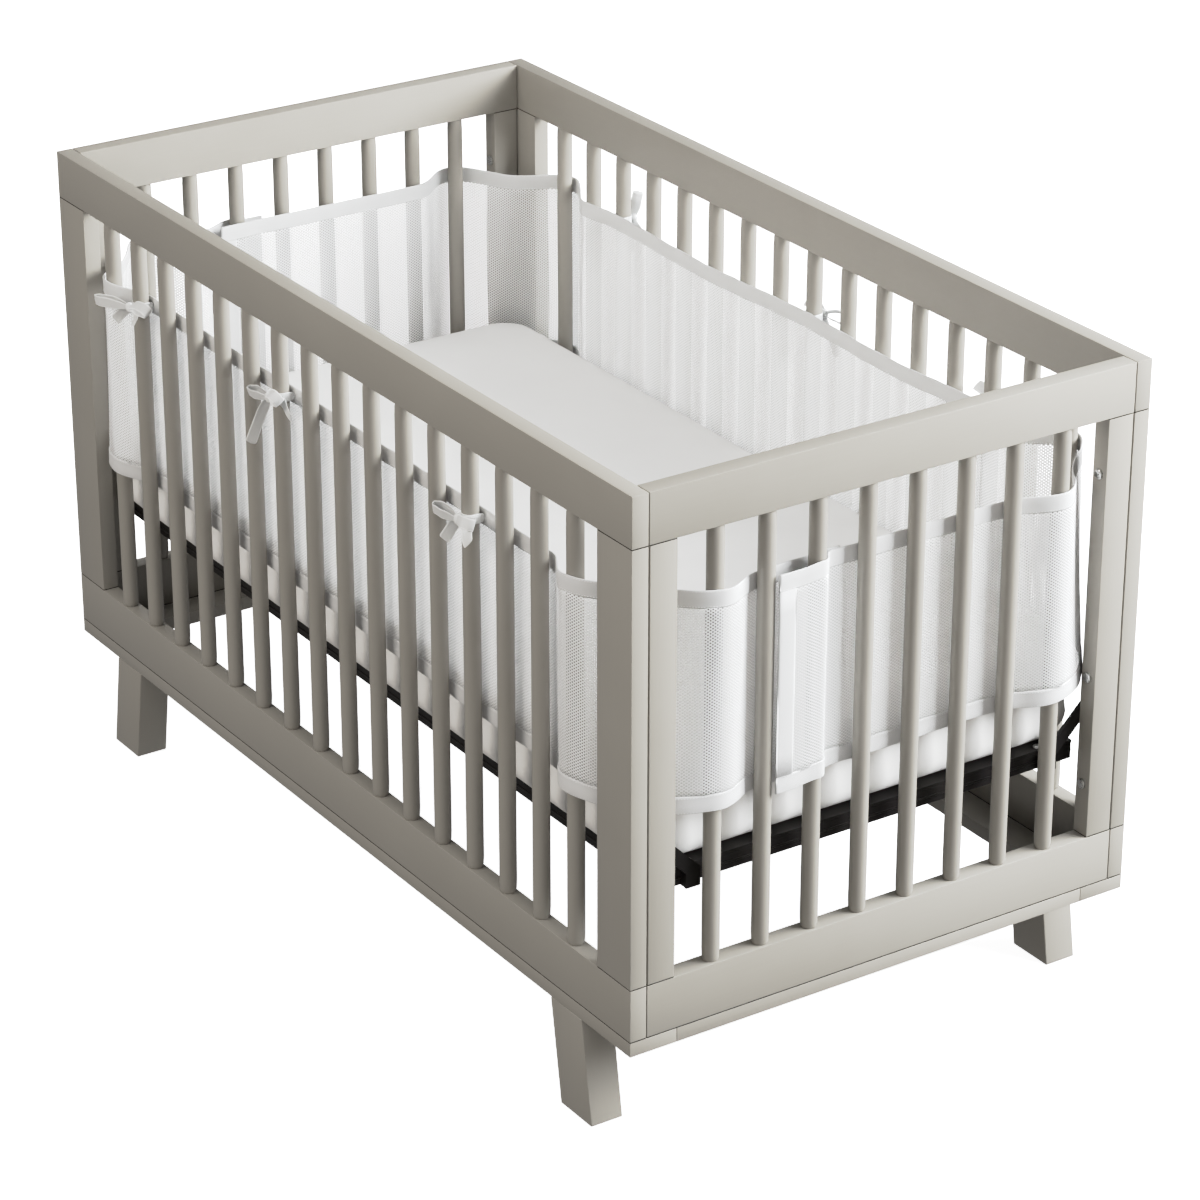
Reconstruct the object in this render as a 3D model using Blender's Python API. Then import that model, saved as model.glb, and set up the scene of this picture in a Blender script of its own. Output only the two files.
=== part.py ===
"""Mesh liner of a baby's crib, woven round the slats, with the crib and mattress it hangs in.

Units are metres and +Z is up. The crib's length runs along X, the long side with the
lower numbered ties faces -Y, and the feet stand on z = 0 with the origin between them.
The +X end is called the foot end, and the -X end is called the head end.
"""

import math

import bmesh
import bpy
from mathutils import Vector

# ---------------------------------------------------------------- driving dimensions
FIT = 0.0003  # gap that is left between two touching pieces

CRIB_LENGTH = 1.390
CRIB_WIDTH = 0.742
CRIB_HEIGHT = 0.853
LEG_HEIGHT = 0.1385
BASE_THICKNESS = 0.019
BASE_PLANK_WIDTH = 0.066
TOP_RAIL_HEIGHT = 0.064
BOTTOM_RAIL_HEIGHT = 0.069
SIDE_THICKNESS = 0.0225  # long sides
END_THICKNESS = 0.025  # short ends
SIDE_STILE_WIDTH = 0.070
END_STILE_WIDTH = 0.037

SLAT_RADIUS = 0.01075
SLAT_FACES = 10
SLAT_TENON = 0.004  # how far a slat is let into its rails
SIDE_SLATS = 16
SIDE_PITCH = 0.0752
END_SLATS = 8
END_PITCH = 0.0713

LEG_WIDTH = 0.067
LEG_DEPTH = 0.045
LEG_TOP_INSET = 0.104  # from the crib's end to the leg's outer edge, at its top
LEG_FOOT_INSET = 0.082  # the same at the floor, so each leg leans outward

MATTRESS_LENGTH = 1.310
MATTRESS_WIDTH = 0.668
MATTRESS_BOTTOM = 0.3480
MATTRESS_CORNER = 0.055
MATTRESS_CORNER_STEPS = 5
# height above the mattress bottom, how far the outline is drawn in
MATTRESS_SECTIONS = (
    (0.000, 0.024),
    (0.009, 0.007),
    (0.028, 0.000),
    (0.070, 0.003),
    (0.112, 0.000),
    (0.131, 0.007),
    (0.139, 0.024),
    (0.143, 0.090),
)

DECK_THICKNESS = 0.004
SUPPORT_DEPTH = 0.021  # height of the angle rails below the deck
SUPPORT_RAIL_WIDTH = 0.022
SUPPORT_LENGTH = 1.314
SUPPORT_WIDTH = 0.620
HANGER_THICKNESS = 0.004
HANGER_TOP = 0.455
HANGER_TAB = (0.313, 0.341)  # across the crib, the strip that is bolted to the stile
HANGER_FOOT = (0.256, 0.276)  # across the crib, the strip that is bolted to the support
HANGER_BEND = 0.4045  # height where the upper edge of the bar starts its slope
HANGER_BAR_DEPTH = 0.025  # of the sloping bar, measured upright
HANGER_FOOT_HEIGHT = 0.021

LINER_TOP = 0.706
LINER_HEIGHT = 0.279
BINDING_WIDTH = 0.022
BINDING_THICKNESS = 0.003
MESH_THICKNESS = 0.002
SLAT_CLEARANCE = 0.002  # between a slat and the liner that passes it
END_BAND_WIDTH = 0.024
MESH_ROWS = 4
CORNER_BULGE_TOP = 0.010  # the liner cuts each corner, bowed outward by this much
CORNER_BULGE_FOOT = 0.020
SIDE_BILLOW = 0.0030  # between two ties the liner hangs off the slats by this much
SIDE_BILLOW_FOOT = 0.0045
TOP_SAG = 0.004  # between two ties its top edge drops by this much
OUTSIDE_LIFT = 0.005  # it rides up where it passes outside a slat

TIE_SLATS_FRONT = (2, 7, 13)
TIE_SLATS_BACK = (3, 9, 14)
TIE_HEIGHT = 0.0105  # from the liner's top edge down to the middle of the knot
RIBBON_WIDTH = 0.016
RIBBON_THICKNESS = 0.0016
KNOT_SIZE = (0.013, 0.011, 0.014)
KNOT_OUT = 0.0170  # from the slat's axis out to the middle of the knot
# One row a loop or tail: its kind, length, angle from +X in degrees, lean outward in degrees.
FRONT_BOWS = (
    (
        ("loop", 0.066, 182.0, 20.0),
        ("loop", 0.080, 11.0, 5.0),
        ("tail", 0.059, 211.0, 10.0),
        ("tail", 0.046, -12.0, 12.0),
    ),
    (
        ("loop", 0.040, 188.0, 14.0),
        ("loop", 0.060, 20.0, 9.0),
        ("tail", 0.069, 238.0, 7.0),
        ("tail", 0.084, 8.0, 4.0),
    ),
    (
        ("loop", 0.041, 172.0, 14.0),
        ("loop", 0.068, 22.0, 6.0),
        ("tail", 0.034, 233.0, 14.0),
        ("tail", 0.046, -8.0, 12.0),
    ),
)
BACK_BOWS = (
    (
        ("loop", 0.040, 78.0, 14.0),
        ("loop", 0.066, 198.0, 20.0),
        ("tail", 0.055, 248.0, 8.0),
        ("tail", 0.050, -40.0, 10.0),
    ),
    (
        ("loop", 0.046, 178.0, 8.0),
        ("loop", 0.038, -16.0, 26.0),
        ("tail", 0.060, 236.0, 8.0),
        ("tail", 0.052, -62.0, 8.0),
    ),
    (
        ("loop", 0.062, 168.0, 5.0),
        ("loop", 0.052, -8.0, 12.0),
        ("tail", 0.050, 225.0, 10.0),
        ("tail", 0.058, -42.0, 10.0),
    ),
)
# A bow's loop, as shares of its length along and of its depth across.
LOOP_DEPTH = 0.014
LOOP_OUTLINE = (
    (0.00, 0.10),
    (0.30, 0.42),
    (0.62, 0.50),
    (0.90, 0.34),
    (1.00, 0.00),
    (0.92, -0.30),
    (0.62, -0.44),
    (0.30, -0.36),
    (0.00, -0.10),
)
TAIL_CURL = 0.006
TAIL_STEPS = 4
WRAP_STEPS = 8
WRAP_GAP = 0.0008  # from the ends of the wrap to the liner's binding

# The liner's two panels, each a list of stations: side, slat number or place, pass.
# "in" passes on the mattress side of the slat and "out" on the far side of it.
FRONT_ROUTE = (
    ("foot", -0.0610, "in"),
    ("foot", -0.0850, "in"),
    ("foot", 3, "in"),
    ("foot", 2, "in"),
    ("foot", 1, "out"),
    ("corner", 0, "out"),
    ("front", 16, "out"),
    *(("front", slat, "in") for slat in range(15, 1, -1)),
    ("front", 1, "out"),
    ("corner", 0, "out"),
    ("head", 1, "out"),
    ("head", 2, "in"),
    ("head", 3, "out"),
    ("head", -0.0850, "out"),
    ("head", -0.0610, "out"),
)
BACK_ROUTE = (
    ("foot", -0.1700, "out"),
    ("foot", -0.1460, "out"),
    ("foot", 3, "out"),
    *(("foot", slat, "in") for slat in range(4, 8)),
    ("foot", 8, "out"),
    ("corner", 0, "out"),
    ("back", 16, "out"),
    *(("back", slat, "in") for slat in range(15, 1, -1)),
    ("back", 1, "out"),
    ("corner", 0, "out"),
    ("head", 8, "out"),
    *(("head", slat, "in") for slat in range(7, 2, -1)),
    ("head", -0.1160, "in"),
    ("head", -0.1400, "in"),
)
STEPS_STRAIGHT = 2  # columns from one station to the next on a straight run
STEPS_WEAVE = 5  # columns where the liner changes from one face of the slats to the other
STEPS_CORNER = 5
STEPS_BAND = 1

# colour, roughness and metallic value of each material
PAINT = ((0.300, 0.285, 0.255, 1.0), 0.42, 0.0)
MESH_CLOTH = ((0.86, 0.86, 0.86, 1.0), 0.90, 0.0)
BINDING_CLOTH = ((0.80, 0.80, 0.80, 1.0), 0.85, 0.0)
RIBBON_CLOTH = ((0.82, 0.82, 0.81, 1.0), 0.75, 0.0)
SHEET_CLOTH = ((0.88, 0.87, 0.85, 1.0), 0.90, 0.0)
BLACK_STEEL = ((0.020, 0.019, 0.018, 1.0), 0.38, 0.6)

# ---------------------------------------------------------------- values worked out
BASE_TOP = LEG_HEIGHT + BASE_THICKNESS
SIDE_BOTTOM = BASE_TOP + FIT
HALF_LENGTH = CRIB_LENGTH / 2
HALF_WIDTH = CRIB_WIDTH / 2
SIDE_AXIS = HALF_WIDTH - SIDE_THICKNESS / 2
END_AXIS = HALF_LENGTH - END_THICKNESS / 2
END_HALF_SPAN = HALF_WIDTH - SIDE_THICKNESS - FIT
LINER_OFFSET = SLAT_RADIUS + SLAT_CLEARANCE + BINDING_THICKNESS / 2
DECK_TOP = MATTRESS_BOTTOM - FIT
LINER_ROUTES = {"front": FRONT_ROUTE, "back": BACK_ROUTE}
OUTWARD = {"front": (0.0, -1.0), "back": (0.0, 1.0), "foot": (1.0, 0.0), "head": (-1.0, 0.0)}


def clear_scene():
    """Removes every object that the start-up file holds."""
    for thing in list(bpy.data.objects):
        bpy.data.objects.remove(thing, do_unlink=True)


def make_material(name, finish):
    """One Principled material from a colour, a roughness and a metallic value."""
    material = bpy.data.materials.new(name)
    material.use_nodes = True
    shader = material.node_tree.nodes["Principled BSDF"]
    shader.inputs["Base Color"].default_value = finish[0]
    shader.inputs["Roughness"].default_value = finish[1]
    shader.inputs["Metallic"].default_value = finish[2]
    return material


def add_object(name, bm, material, smooth=False):
    """Puts a finished bmesh into the scene as an object with one material."""
    mesh = bpy.data.meshes.new(name)
    bmesh.ops.recalc_face_normals(bm, faces=bm.faces)
    bm.to_mesh(mesh)
    bm.free()
    mesh.materials.append(material)
    if smooth:
        mesh.shade_smooth()
        mesh.set_sharp_from_angle(angle=math.radians(40))
    thing = bpy.data.objects.new(name, mesh)
    bpy.context.scene.collection.objects.link(thing)
    return thing


def add_box(bm, low, high):
    """A box between two corners."""
    size = [high[i] - low[i] for i in range(3)]
    middle = [(high[i] + low[i]) / 2 for i in range(3)]
    made = bmesh.ops.create_cube(bm, size=1.0)["verts"]
    for vert in made:
        vert.co = Vector([vert.co[i] * size[i] + middle[i] for i in range(3)])


def add_loft(bm, rings):
    """A closed solid through rings of points, each ring with the same count."""
    made = [[bm.verts.new(point) for point in ring] for ring in rings]
    count = len(rings[0])
    for low, high in zip(made, made[1:]):
        for i in range(count):
            j = (i + 1) % count
            bm.faces.new((low[i], low[j], high[j], high[i]))
    bm.faces.new(list(reversed(made[0])))
    bm.faces.new(made[-1])


def combine(target, tool, operation):
    """A Boolean modifier on the target. The tool becomes a guide that isn't built."""
    tool.hide_render = True
    tool.display_type = "WIRE"
    cut = target.modifiers.new(operation.lower(), "BOOLEAN")
    cut.operation = operation
    cut.solver = "EXACT"
    cut.object = tool


# ---------------------------------------------------------------- the crib
def slat_place(side, number):
    """How far along its side a slat stands. Slats count from -X, or from -Y on an end."""
    if side in ("front", "back"):
        return (number - (SIDE_SLATS + 1) / 2) * SIDE_PITCH
    return (number - (END_SLATS + 1) / 2) * END_PITCH


def side_point(side, along, out):
    """A point in plan: along the side, and out from the axis of its slats."""
    if side in ("front", "back"):
        sign = OUTWARD[side][1]
        return Vector((along, sign * (SIDE_AXIS + out)))
    sign = OUTWARD[side][0]
    return Vector((sign * (END_AXIS + out), along))


def rail_box(side, span, depth, heights, out=0.0):
    """Two corners of a box on a side: its span along, depth across and two heights."""
    one = side_point(side, span[0], out - depth / 2)
    two = side_point(side, span[1], out + depth / 2)
    low = (min(one.x, two.x), min(one.y, two.y), heights[0])
    high = (max(one.x, two.x), max(one.y, two.y), heights[1])
    return low, high


def build_gate(name, side, half_span, depth, stile, slats, paint):
    """One glued side: two rails, two stiles and the round slats between them."""
    low_z = SIDE_BOTTOM + BOTTOM_RAIL_HEIGHT
    high_z = CRIB_HEIGHT - TOP_RAIL_HEIGHT
    bm = bmesh.new()
    add_box(bm, *rail_box(side, (-half_span, half_span), depth, (SIDE_BOTTOM, CRIB_HEIGHT)))
    gate = add_object(name, bm, paint)

    window = half_span - stile
    bm = bmesh.new()
    add_box(bm, *rail_box(side, (-window, window), depth * 2, (low_z, high_z)))
    combine(gate, add_object(name + "_window", bm, paint), "DIFFERENCE")

    bm = bmesh.new()
    for number in range(1, slats + 1):
        foot = side_point(side, slat_place(side, number), 0.0)
        rings = []
        for z in (low_z - SLAT_TENON, high_z + SLAT_TENON):
            turns = [math.tau * (step + 0.5) / SLAT_FACES for step in range(SLAT_FACES)]
            rings.append(
                [
                    (foot.x + SLAT_RADIUS * math.cos(a), foot.y + SLAT_RADIUS * math.sin(a), z)
                    for a in turns
                ]
            )
        add_loft(bm, rings)
    combine(gate, add_object(name + "_slats", bm, paint), "UNION")
    return gate


def build_base(paint):
    """The flat frame of planks that the sides stand on."""
    heights = (LEG_HEIGHT, BASE_TOP)
    inner = HALF_WIDTH - BASE_PLANK_WIDTH
    for name, sign in (("base_front_plank", -1), ("base_back_plank", 1)):
        ys = sorted((sign * inner, sign * HALF_WIDTH))
        bm = bmesh.new()
        add_box(bm, (-HALF_LENGTH, ys[0], heights[0]), (HALF_LENGTH, ys[1], heights[1]))
        add_object(name, bm, paint)
    reach = inner - FIT
    for name, sign in (("base_foot_plank", 1), ("base_head_plank", -1)):
        xs = sorted((sign * (HALF_LENGTH - BASE_PLANK_WIDTH), sign * HALF_LENGTH))
        bm = bmesh.new()
        add_box(bm, (xs[0], -reach, heights[0]), (xs[1], reach, heights[1]))
        add_object(name, bm, paint)


def build_legs(paint):
    """Four square legs that lean outward along the crib, flush with its long sides."""
    for end, sx in (("foot", 1), ("head", -1)):
        for side, sy in (("front", -1), ("back", 1)):
            rings = []
            for z, inset in ((0.0, LEG_FOOT_INSET), (LEG_HEIGHT - FIT, LEG_TOP_INSET)):
                outer = HALF_LENGTH - inset
                inner = outer - LEG_WIDTH
                face = HALF_WIDTH
                back = HALF_WIDTH - LEG_DEPTH
                corners = ((outer, face), (inner, face), (inner, back), (outer, back))
                rings.append([(sx * x, sy * y, z) for x, y in corners])
            bm = bmesh.new()
            add_loft(bm, rings)
            add_object("leg_" + side + "_" + end, bm, paint)


def build_crib(paint):
    """The four sides, the base and the legs."""
    for side in ("front", "back"):
        build_gate(
            "crib_" + side + "_side",
            side,
            HALF_LENGTH,
            SIDE_THICKNESS,
            SIDE_STILE_WIDTH,
            SIDE_SLATS,
            paint,
        )
    for side in ("foot", "head"):
        build_gate(
            "crib_" + side + "_end",
            side,
            END_HALF_SPAN,
            END_THICKNESS,
            END_STILE_WIDTH,
            END_SLATS,
            paint,
        )
    build_base(paint)
    build_legs(paint)


# ---------------------------------------------------------------- the mattress
def rounded_outline(half_x, half_y, radius, steps):
    """Points of a rectangle with round corners, anticlockwise."""
    points = []
    for quarter, (sx, sy) in enumerate(((1, 1), (-1, 1), (-1, -1), (1, -1))):
        centre = (sx * (half_x - radius), sy * (half_y - radius))
        for step in range(steps):
            angle = (quarter + step / (steps - 1)) * math.pi / 2
            points.append(
                (centre[0] + radius * math.cos(angle), centre[1] + radius * math.sin(angle))
            )
    return points


def build_mattress(cloth):
    """The mattress in its fitted sheet: soft edges, sides drawn in and a low crown."""
    rings = []
    for height, drawn in MATTRESS_SECTIONS:
        outline = rounded_outline(
            MATTRESS_LENGTH / 2 - drawn,
            MATTRESS_WIDTH / 2 - drawn,
            MATTRESS_CORNER,
            MATTRESS_CORNER_STEPS,
        )
        rings.append([(x, y, MATTRESS_BOTTOM + height) for x, y in outline])
    bm = bmesh.new()
    add_loft(bm, rings)
    add_object("mattress", bm, cloth, smooth=True)


def build_support(steel):
    """The steel frame under the mattress: four rails, a flat deck and four hangers."""
    half_x = SUPPORT_LENGTH / 2
    half_y = SUPPORT_WIDTH / 2
    deck_bottom = DECK_TOP - DECK_THICKNESS
    bm = bmesh.new()
    add_box(bm, (-half_x, -half_y, deck_bottom), (half_x, half_y, DECK_TOP))
    add_object("support_deck", bm, steel)

    top = deck_bottom - FIT
    bottom = top - SUPPORT_DEPTH
    for name, sign in (("support_front_rail", -1), ("support_back_rail", 1)):
        ys = sorted((sign * half_y, sign * (half_y - SUPPORT_RAIL_WIDTH)))
        bm = bmesh.new()
        add_box(bm, (-half_x, ys[0], bottom), (half_x, ys[1], top))
        add_object(name, bm, steel)
    reach = half_y - SUPPORT_RAIL_WIDTH - FIT
    for name, sign in (("support_foot_rail", 1), ("support_head_rail", -1)):
        xs = sorted((sign * half_x, sign * (half_x - SUPPORT_RAIL_WIDTH)))
        bm = bmesh.new()
        add_box(bm, (xs[0], -reach, bottom), (xs[1], reach, top))
        add_object(name, bm, steel)

    for end, sx in (("foot", 1), ("head", -1)):
        for side, sy in (("front", -1), ("back", 1)):
            build_hanger("hanger_" + side + "_" + end, sx, sy, steel)


def build_hanger(name, sx, sy, steel):
    """A flat bar on a stile's inner face, which slopes down to the corner of the support."""
    far = HALF_LENGTH - END_THICKNESS - FIT
    near = far - HANGER_THICKNESS
    support_end = SUPPORT_LENGTH / 2 + FIT
    foot_z = DECK_TOP - DECK_THICKNESS - SUPPORT_DEPTH
    tab_in, tab_out = HANGER_TAB
    foot_in, foot_out = HANGER_FOOT
    bar = (
        (tab_out, HANGER_TOP),
        (tab_in, HANGER_TOP),
        (tab_in, HANGER_BEND),
        (foot_in, HANGER_BEND - (tab_in - foot_in)),
        (foot_in, foot_z),
        (foot_out, foot_z),
        (foot_out, HANGER_BEND - (tab_in - foot_out) - HANGER_BAR_DEPTH),
        (tab_out, HANGER_BEND + (tab_out - tab_in) - HANGER_BAR_DEPTH),
    )
    bm = bmesh.new()
    add_loft(bm, [[(sx * x, sy * y, z) for y, z in bar] for x in (near, far)])
    hanger = add_object(name, bm, steel)

    bm = bmesh.new()
    xs = sorted((sx * support_end, sx * (near + HANGER_THICKNESS / 2)))
    ys = sorted((sy * (foot_in + FIT), sy * (foot_out - FIT)))
    add_box(bm, (xs[0], ys[0], foot_z + FIT), (xs[1], ys[1], foot_z + HANGER_FOOT_HEIGHT))
    combine(hanger, add_object(name + "_foot", bm, steel), "UNION")


# ---------------------------------------------------------------- the liner
def station_point(route, index, level):
    """Where a station of a route lies in plan, at a level from 0, the top, to 1, the foot."""
    side, place, passing = route[index]
    if side == "corner":
        before = station_point(route, index - 1, level)
        after = station_point(route, index + 1, level)
        middle = (before + after) / 2
        away = Vector((math.copysign(1.0, middle.x), math.copysign(1.0, middle.y))).normalized()
        bulge = CORNER_BULGE_TOP + (CORNER_BULGE_FOOT - CORNER_BULGE_TOP) * level
        return middle + away * bulge
    along = slat_place(side, place) if isinstance(place, int) else place
    if passing == "out":
        return side_point(side, along, LINER_OFFSET)
    return side_point(side, along, -LINER_OFFSET - station_billow(side, place, level))


def tie_slats(side):
    """The slats of a side that carry a tie."""
    return {"front": TIE_SLATS_FRONT, "back": TIE_SLATS_BACK}.get(side, ())


def tie_slack(side, place):
    """0 where a tie pulls the liner to the slats, rising to 1 half way to the next tie."""
    ties = tie_slats(side)
    if not ties or not isinstance(place, int):
        return 0.0
    marks = (0, *ties, SIDE_SLATS + 1)
    for low, high in zip(marks, marks[1:]):
        if low <= place <= high:
            return math.sin(math.pi * (place - low) / (high - low)) ** 2
    return 0.0


def station_billow(side, place, level):
    """How far the liner stands off the slats toward the mattress at a station."""
    slack = tie_slack(side, place)
    return slack * (SIDE_BILLOW + (SIDE_BILLOW_FOOT - SIDE_BILLOW) * level)


def station_drop(route, index):
    """How far the liner's top edge lies below its full height at a station."""
    side, place, passing = route[index]
    if side == "corner":
        return 0.0
    if passing == "out":
        return -OUTSIDE_LIFT if isinstance(place, int) else -OUTSIDE_LIFT / 2
    return TOP_SAG * tie_slack(side, place)


def station_heading(points, route, index):
    """The unit direction of the liner at a station, in plan."""
    last = len(points) - 1
    before = points[max(index - 1, 0)]
    after = points[min(index + 1, last)]
    side = route[index][0]
    sides = {route[max(index - 1, 0)][0], side, route[min(index + 1, last)][0]}
    heading = (after - before).normalized()
    if len(sides) == 1 and side != "corner":
        return Vector((math.copysign(1.0, heading.x), 0.0)) if side in ("front", "back") else (
            Vector((0.0, math.copysign(1.0, heading.y)))
        )
    return heading


def liner_row(route, level, places):
    """Points and headings of the liner at one level, for a list of places along the route."""
    points = [station_point(route, index, level) for index in range(len(route))]
    headings = [station_heading(points, route, index) for index in range(len(route))]
    row = []
    for place in places:
        index = min(int(place), len(route) - 2)
        u = place - index
        span = (points[index + 1] - points[index]).length
        start, end = points[index], points[index + 1]
        lead, tail = headings[index] * span, headings[index + 1] * span
        spot = (
            start * (2 * u**3 - 3 * u**2 + 1)
            + lead * (u**3 - 2 * u**2 + u)
            + end * (3 * u**2 - 2 * u**3)
            + tail * (u**3 - u**2)
        )
        slope = (
            start * (6 * u**2 - 6 * u)
            + lead * (3 * u**2 - 4 * u + 1)
            + end * (6 * u - 6 * u**2)
            + tail * (3 * u**2 - 2 * u)
        )
        ease = u * u * (3 - 2 * u)
        drop = station_drop(route, index) * (1 - ease) + station_drop(route, index + 1) * ease
        row.append((spot, slope.normalized(), drop))
    return row


def route_places(route):
    """The places along a route where the liner gets a column, in stations."""
    places = [0.0]
    for index in range(len(route) - 1):
        one, two = route[index], route[index + 1]
        if "corner" in (one[0], two[0]):
            steps = STEPS_CORNER
        elif one[2] != two[2]:
            steps = STEPS_WEAVE
        elif index in (0, len(route) - 2):
            steps = STEPS_BAND
        else:
            steps = STEPS_STRAIGHT
        places.extend(index + (step + 1) / steps for step in range(steps))
    return places


def add_strip(name, route, places, depths, thickness, cloth):
    """A strip of the liner between two depths below its top edge, as a closed thin solid."""
    faces = []
    for depth in depths:
        row = liner_row(route, depth / LINER_HEIGHT, places)
        pair = [], []
        for spot, heading, drop in row:
            across = Vector((heading.y, -heading.x)) * thickness / 2
            z = LINER_TOP - drop - depth
            for points, sign in zip(pair, (1, -1)):
                points.append((*(spot + across * sign), z))
        faces.append(pair)
    bm = bmesh.new()
    # A ring goes down the outer face of a column and back up its inner face.
    rings = []
    for column in range(len(places)):
        ring = [pair[0][column] for pair in faces]
        ring += [pair[1][column] for pair in reversed(faces)]
        rings.append(ring)
    add_loft(bm, rings)
    return add_object(name, bm, cloth, smooth=True)


def build_panel(name, route, mesh_cloth, binding_cloth):
    """One panel of the liner: its mesh, the bindings of its long edges and its end bands."""
    places = route_places(route)
    foot = LINER_HEIGHT - BINDING_WIDTH
    add_strip(
        name + "_top_binding",
        route,
        places,
        (0.0, BINDING_WIDTH),
        BINDING_THICKNESS,
        binding_cloth,
    )
    add_strip(
        name + "_bottom_binding",
        route,
        places,
        (foot, LINER_HEIGHT),
        BINDING_THICKNESS,
        binding_cloth,
    )
    inner = (BINDING_WIDTH + FIT, foot - FIT)
    last = len(route) - 1
    gap = FIT / END_BAND_WIDTH  # the end bands' stations lie a band's width apart
    add_strip(
        name + "_first_band",
        route,
        [p for p in places if p < 1.0] + [1.0],
        inner,
        BINDING_THICKNESS,
        binding_cloth,
    )
    add_strip(
        name + "_last_band",
        route,
        [last - 1.0] + [p for p in places if p > last - 1.0],
        inner,
        BINDING_THICKNESS,
        binding_cloth,
    )
    middle = [1.0 + gap] + [p for p in places if 1.0 < p < last - 1.0] + [last - 1.0 - gap]
    step = (inner[1] - inner[0]) / (MESH_ROWS - 1)
    depths = [inner[0] + step * row for row in range(MESH_ROWS)]
    add_strip(name + "_mesh", route, middle, depths, MESH_THICKNESS, mesh_cloth)


# ---------------------------------------------------------------- the ties
def sweep_ribbon(bm, points, widths):
    """A flat ribbon along points, with the half-width vector of each point."""
    rings = []
    last = len(points) - 1
    for index, (point, half) in enumerate(zip(points, widths)):
        heading = (points[min(index + 1, last)] - points[max(index - 1, 0)]).normalized()
        flat = heading.cross(half).normalized() * RIBBON_THICKNESS / 2
        rings.append([point + half + flat, point - half + flat, point - half - flat, point + half - flat])
    add_loft(bm, rings)


def bow_axes(angle, lean):
    """The direction of a loop or tail, the one across its ribbon and the one through it."""
    angle, lean = math.radians(angle), math.radians(lean)
    flat = Vector((math.cos(angle), 0.0, math.sin(angle)))
    along = flat * math.cos(lean) + Vector((0.0, math.sin(lean), 0.0))
    across = Vector((-math.sin(angle), 0.0, math.cos(angle)))
    return along, across, along.cross(across)


def bow_part(kind, length, angle, lean):
    """The mesh of one loop or tail, from the middle of the knot, in the tie's own axes."""
    along, across, through = bow_axes(angle, lean)
    start = Vector((0.0, KNOT_OUT, 0.0))
    half = across * RIBBON_WIDTH / 2
    bm = bmesh.new()
    points, widths = [], []
    if kind == "loop":
        for far, deep in LOOP_OUTLINE:
            points.append(start + along * length * far + through * LOOP_DEPTH * deep)
            widths.append(half * (0.55 + 0.45 * min(1.0, far * 2.5)))
    else:
        for step in range(TAIL_STEPS + 1):
            share = step / TAIL_STEPS
            curl = TAIL_CURL * math.sin(math.pi * share)
            points.append(start + along * length * share + through * curl)
            widths.append(half * (0.55 + 0.45 * min(1.0, share * 3.0)))
    sweep_ribbon(bm, points, widths)
    return bm


def liner_reach(side, slat, shift):
    """How far behind a slat's axis the liner's near face lies, a shift along from the slat."""
    route = LINER_ROUTES[side]
    place = route.index((side, slat, "in")) - shift / SIDE_PITCH
    spot = liner_row(route, TIE_HEIGHT / LINER_HEIGHT, [place])[0][0]
    behind = SIDE_AXIS - abs(spot.y)
    return behind - BINDING_THICKNESS / 2 - WRAP_GAP


def wrap_mesh(side, slat):
    """The part of the tie that comes round the slat from the liner to the knot."""
    hug = (SLAT_RADIUS + FIT) / math.cos(math.pi / WRAP_STEPS / 2)
    radius = hug + RIBBON_THICKNESS / 2
    points = [Vector((-radius, -liner_reach(side, slat, -radius), 0.0))]
    for step in range(WRAP_STEPS + 1):
        angle = math.pi * (1 - step / WRAP_STEPS)
        points.append(Vector((radius * math.cos(angle), radius * math.sin(angle), 0.0)))
    points.append(Vector((radius, -liner_reach(side, slat, radius), 0.0)))
    half = Vector((0.0, 0.0, RIBBON_WIDTH * 0.42))
    bm = bmesh.new()
    sweep_ribbon(bm, points, [half] * len(points))
    return bm


def knot_mesh():
    """The knot, a small flattened ball."""
    bm = bmesh.new()
    bmesh.ops.create_icosphere(bm, subdivisions=1, radius=0.5)
    for vert in bm.verts:
        vert.co = Vector([vert.co[axis] * KNOT_SIZE[axis] for axis in range(3)])
        vert.co.y += KNOT_OUT
    return bm


def place_tie(bm, side, slat):
    """Moves a mesh from the tie's own axes to its slat, and turns it to face outward."""
    spot = side_point(side, slat_place(side, slat), 0.0)
    sign = OUTWARD[side][1]
    height = LINER_TOP - TIE_HEIGHT
    for vert in bm.verts:
        x, y, z = vert.co
        vert.co = Vector((spot.x + x, spot.y + sign * y, height + z))
    return bm


def build_tie(name, side, slat, shape, ribbon):
    """One bow: the wrap round the slat, the knot, two loops and two free ends."""
    tie = add_object(name, place_tie(wrap_mesh(side, slat), side, slat), ribbon)
    parts = [("knot", knot_mesh())]
    for number, (kind, length, angle, lean) in enumerate(shape):
        parts.append((kind + str(number), bow_part(kind, length, angle, lean)))
    for label, bm in parts:
        part = add_object(name + "_" + label, place_tie(bm, side, slat), ribbon)
        combine(tie, part, "UNION")


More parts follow.
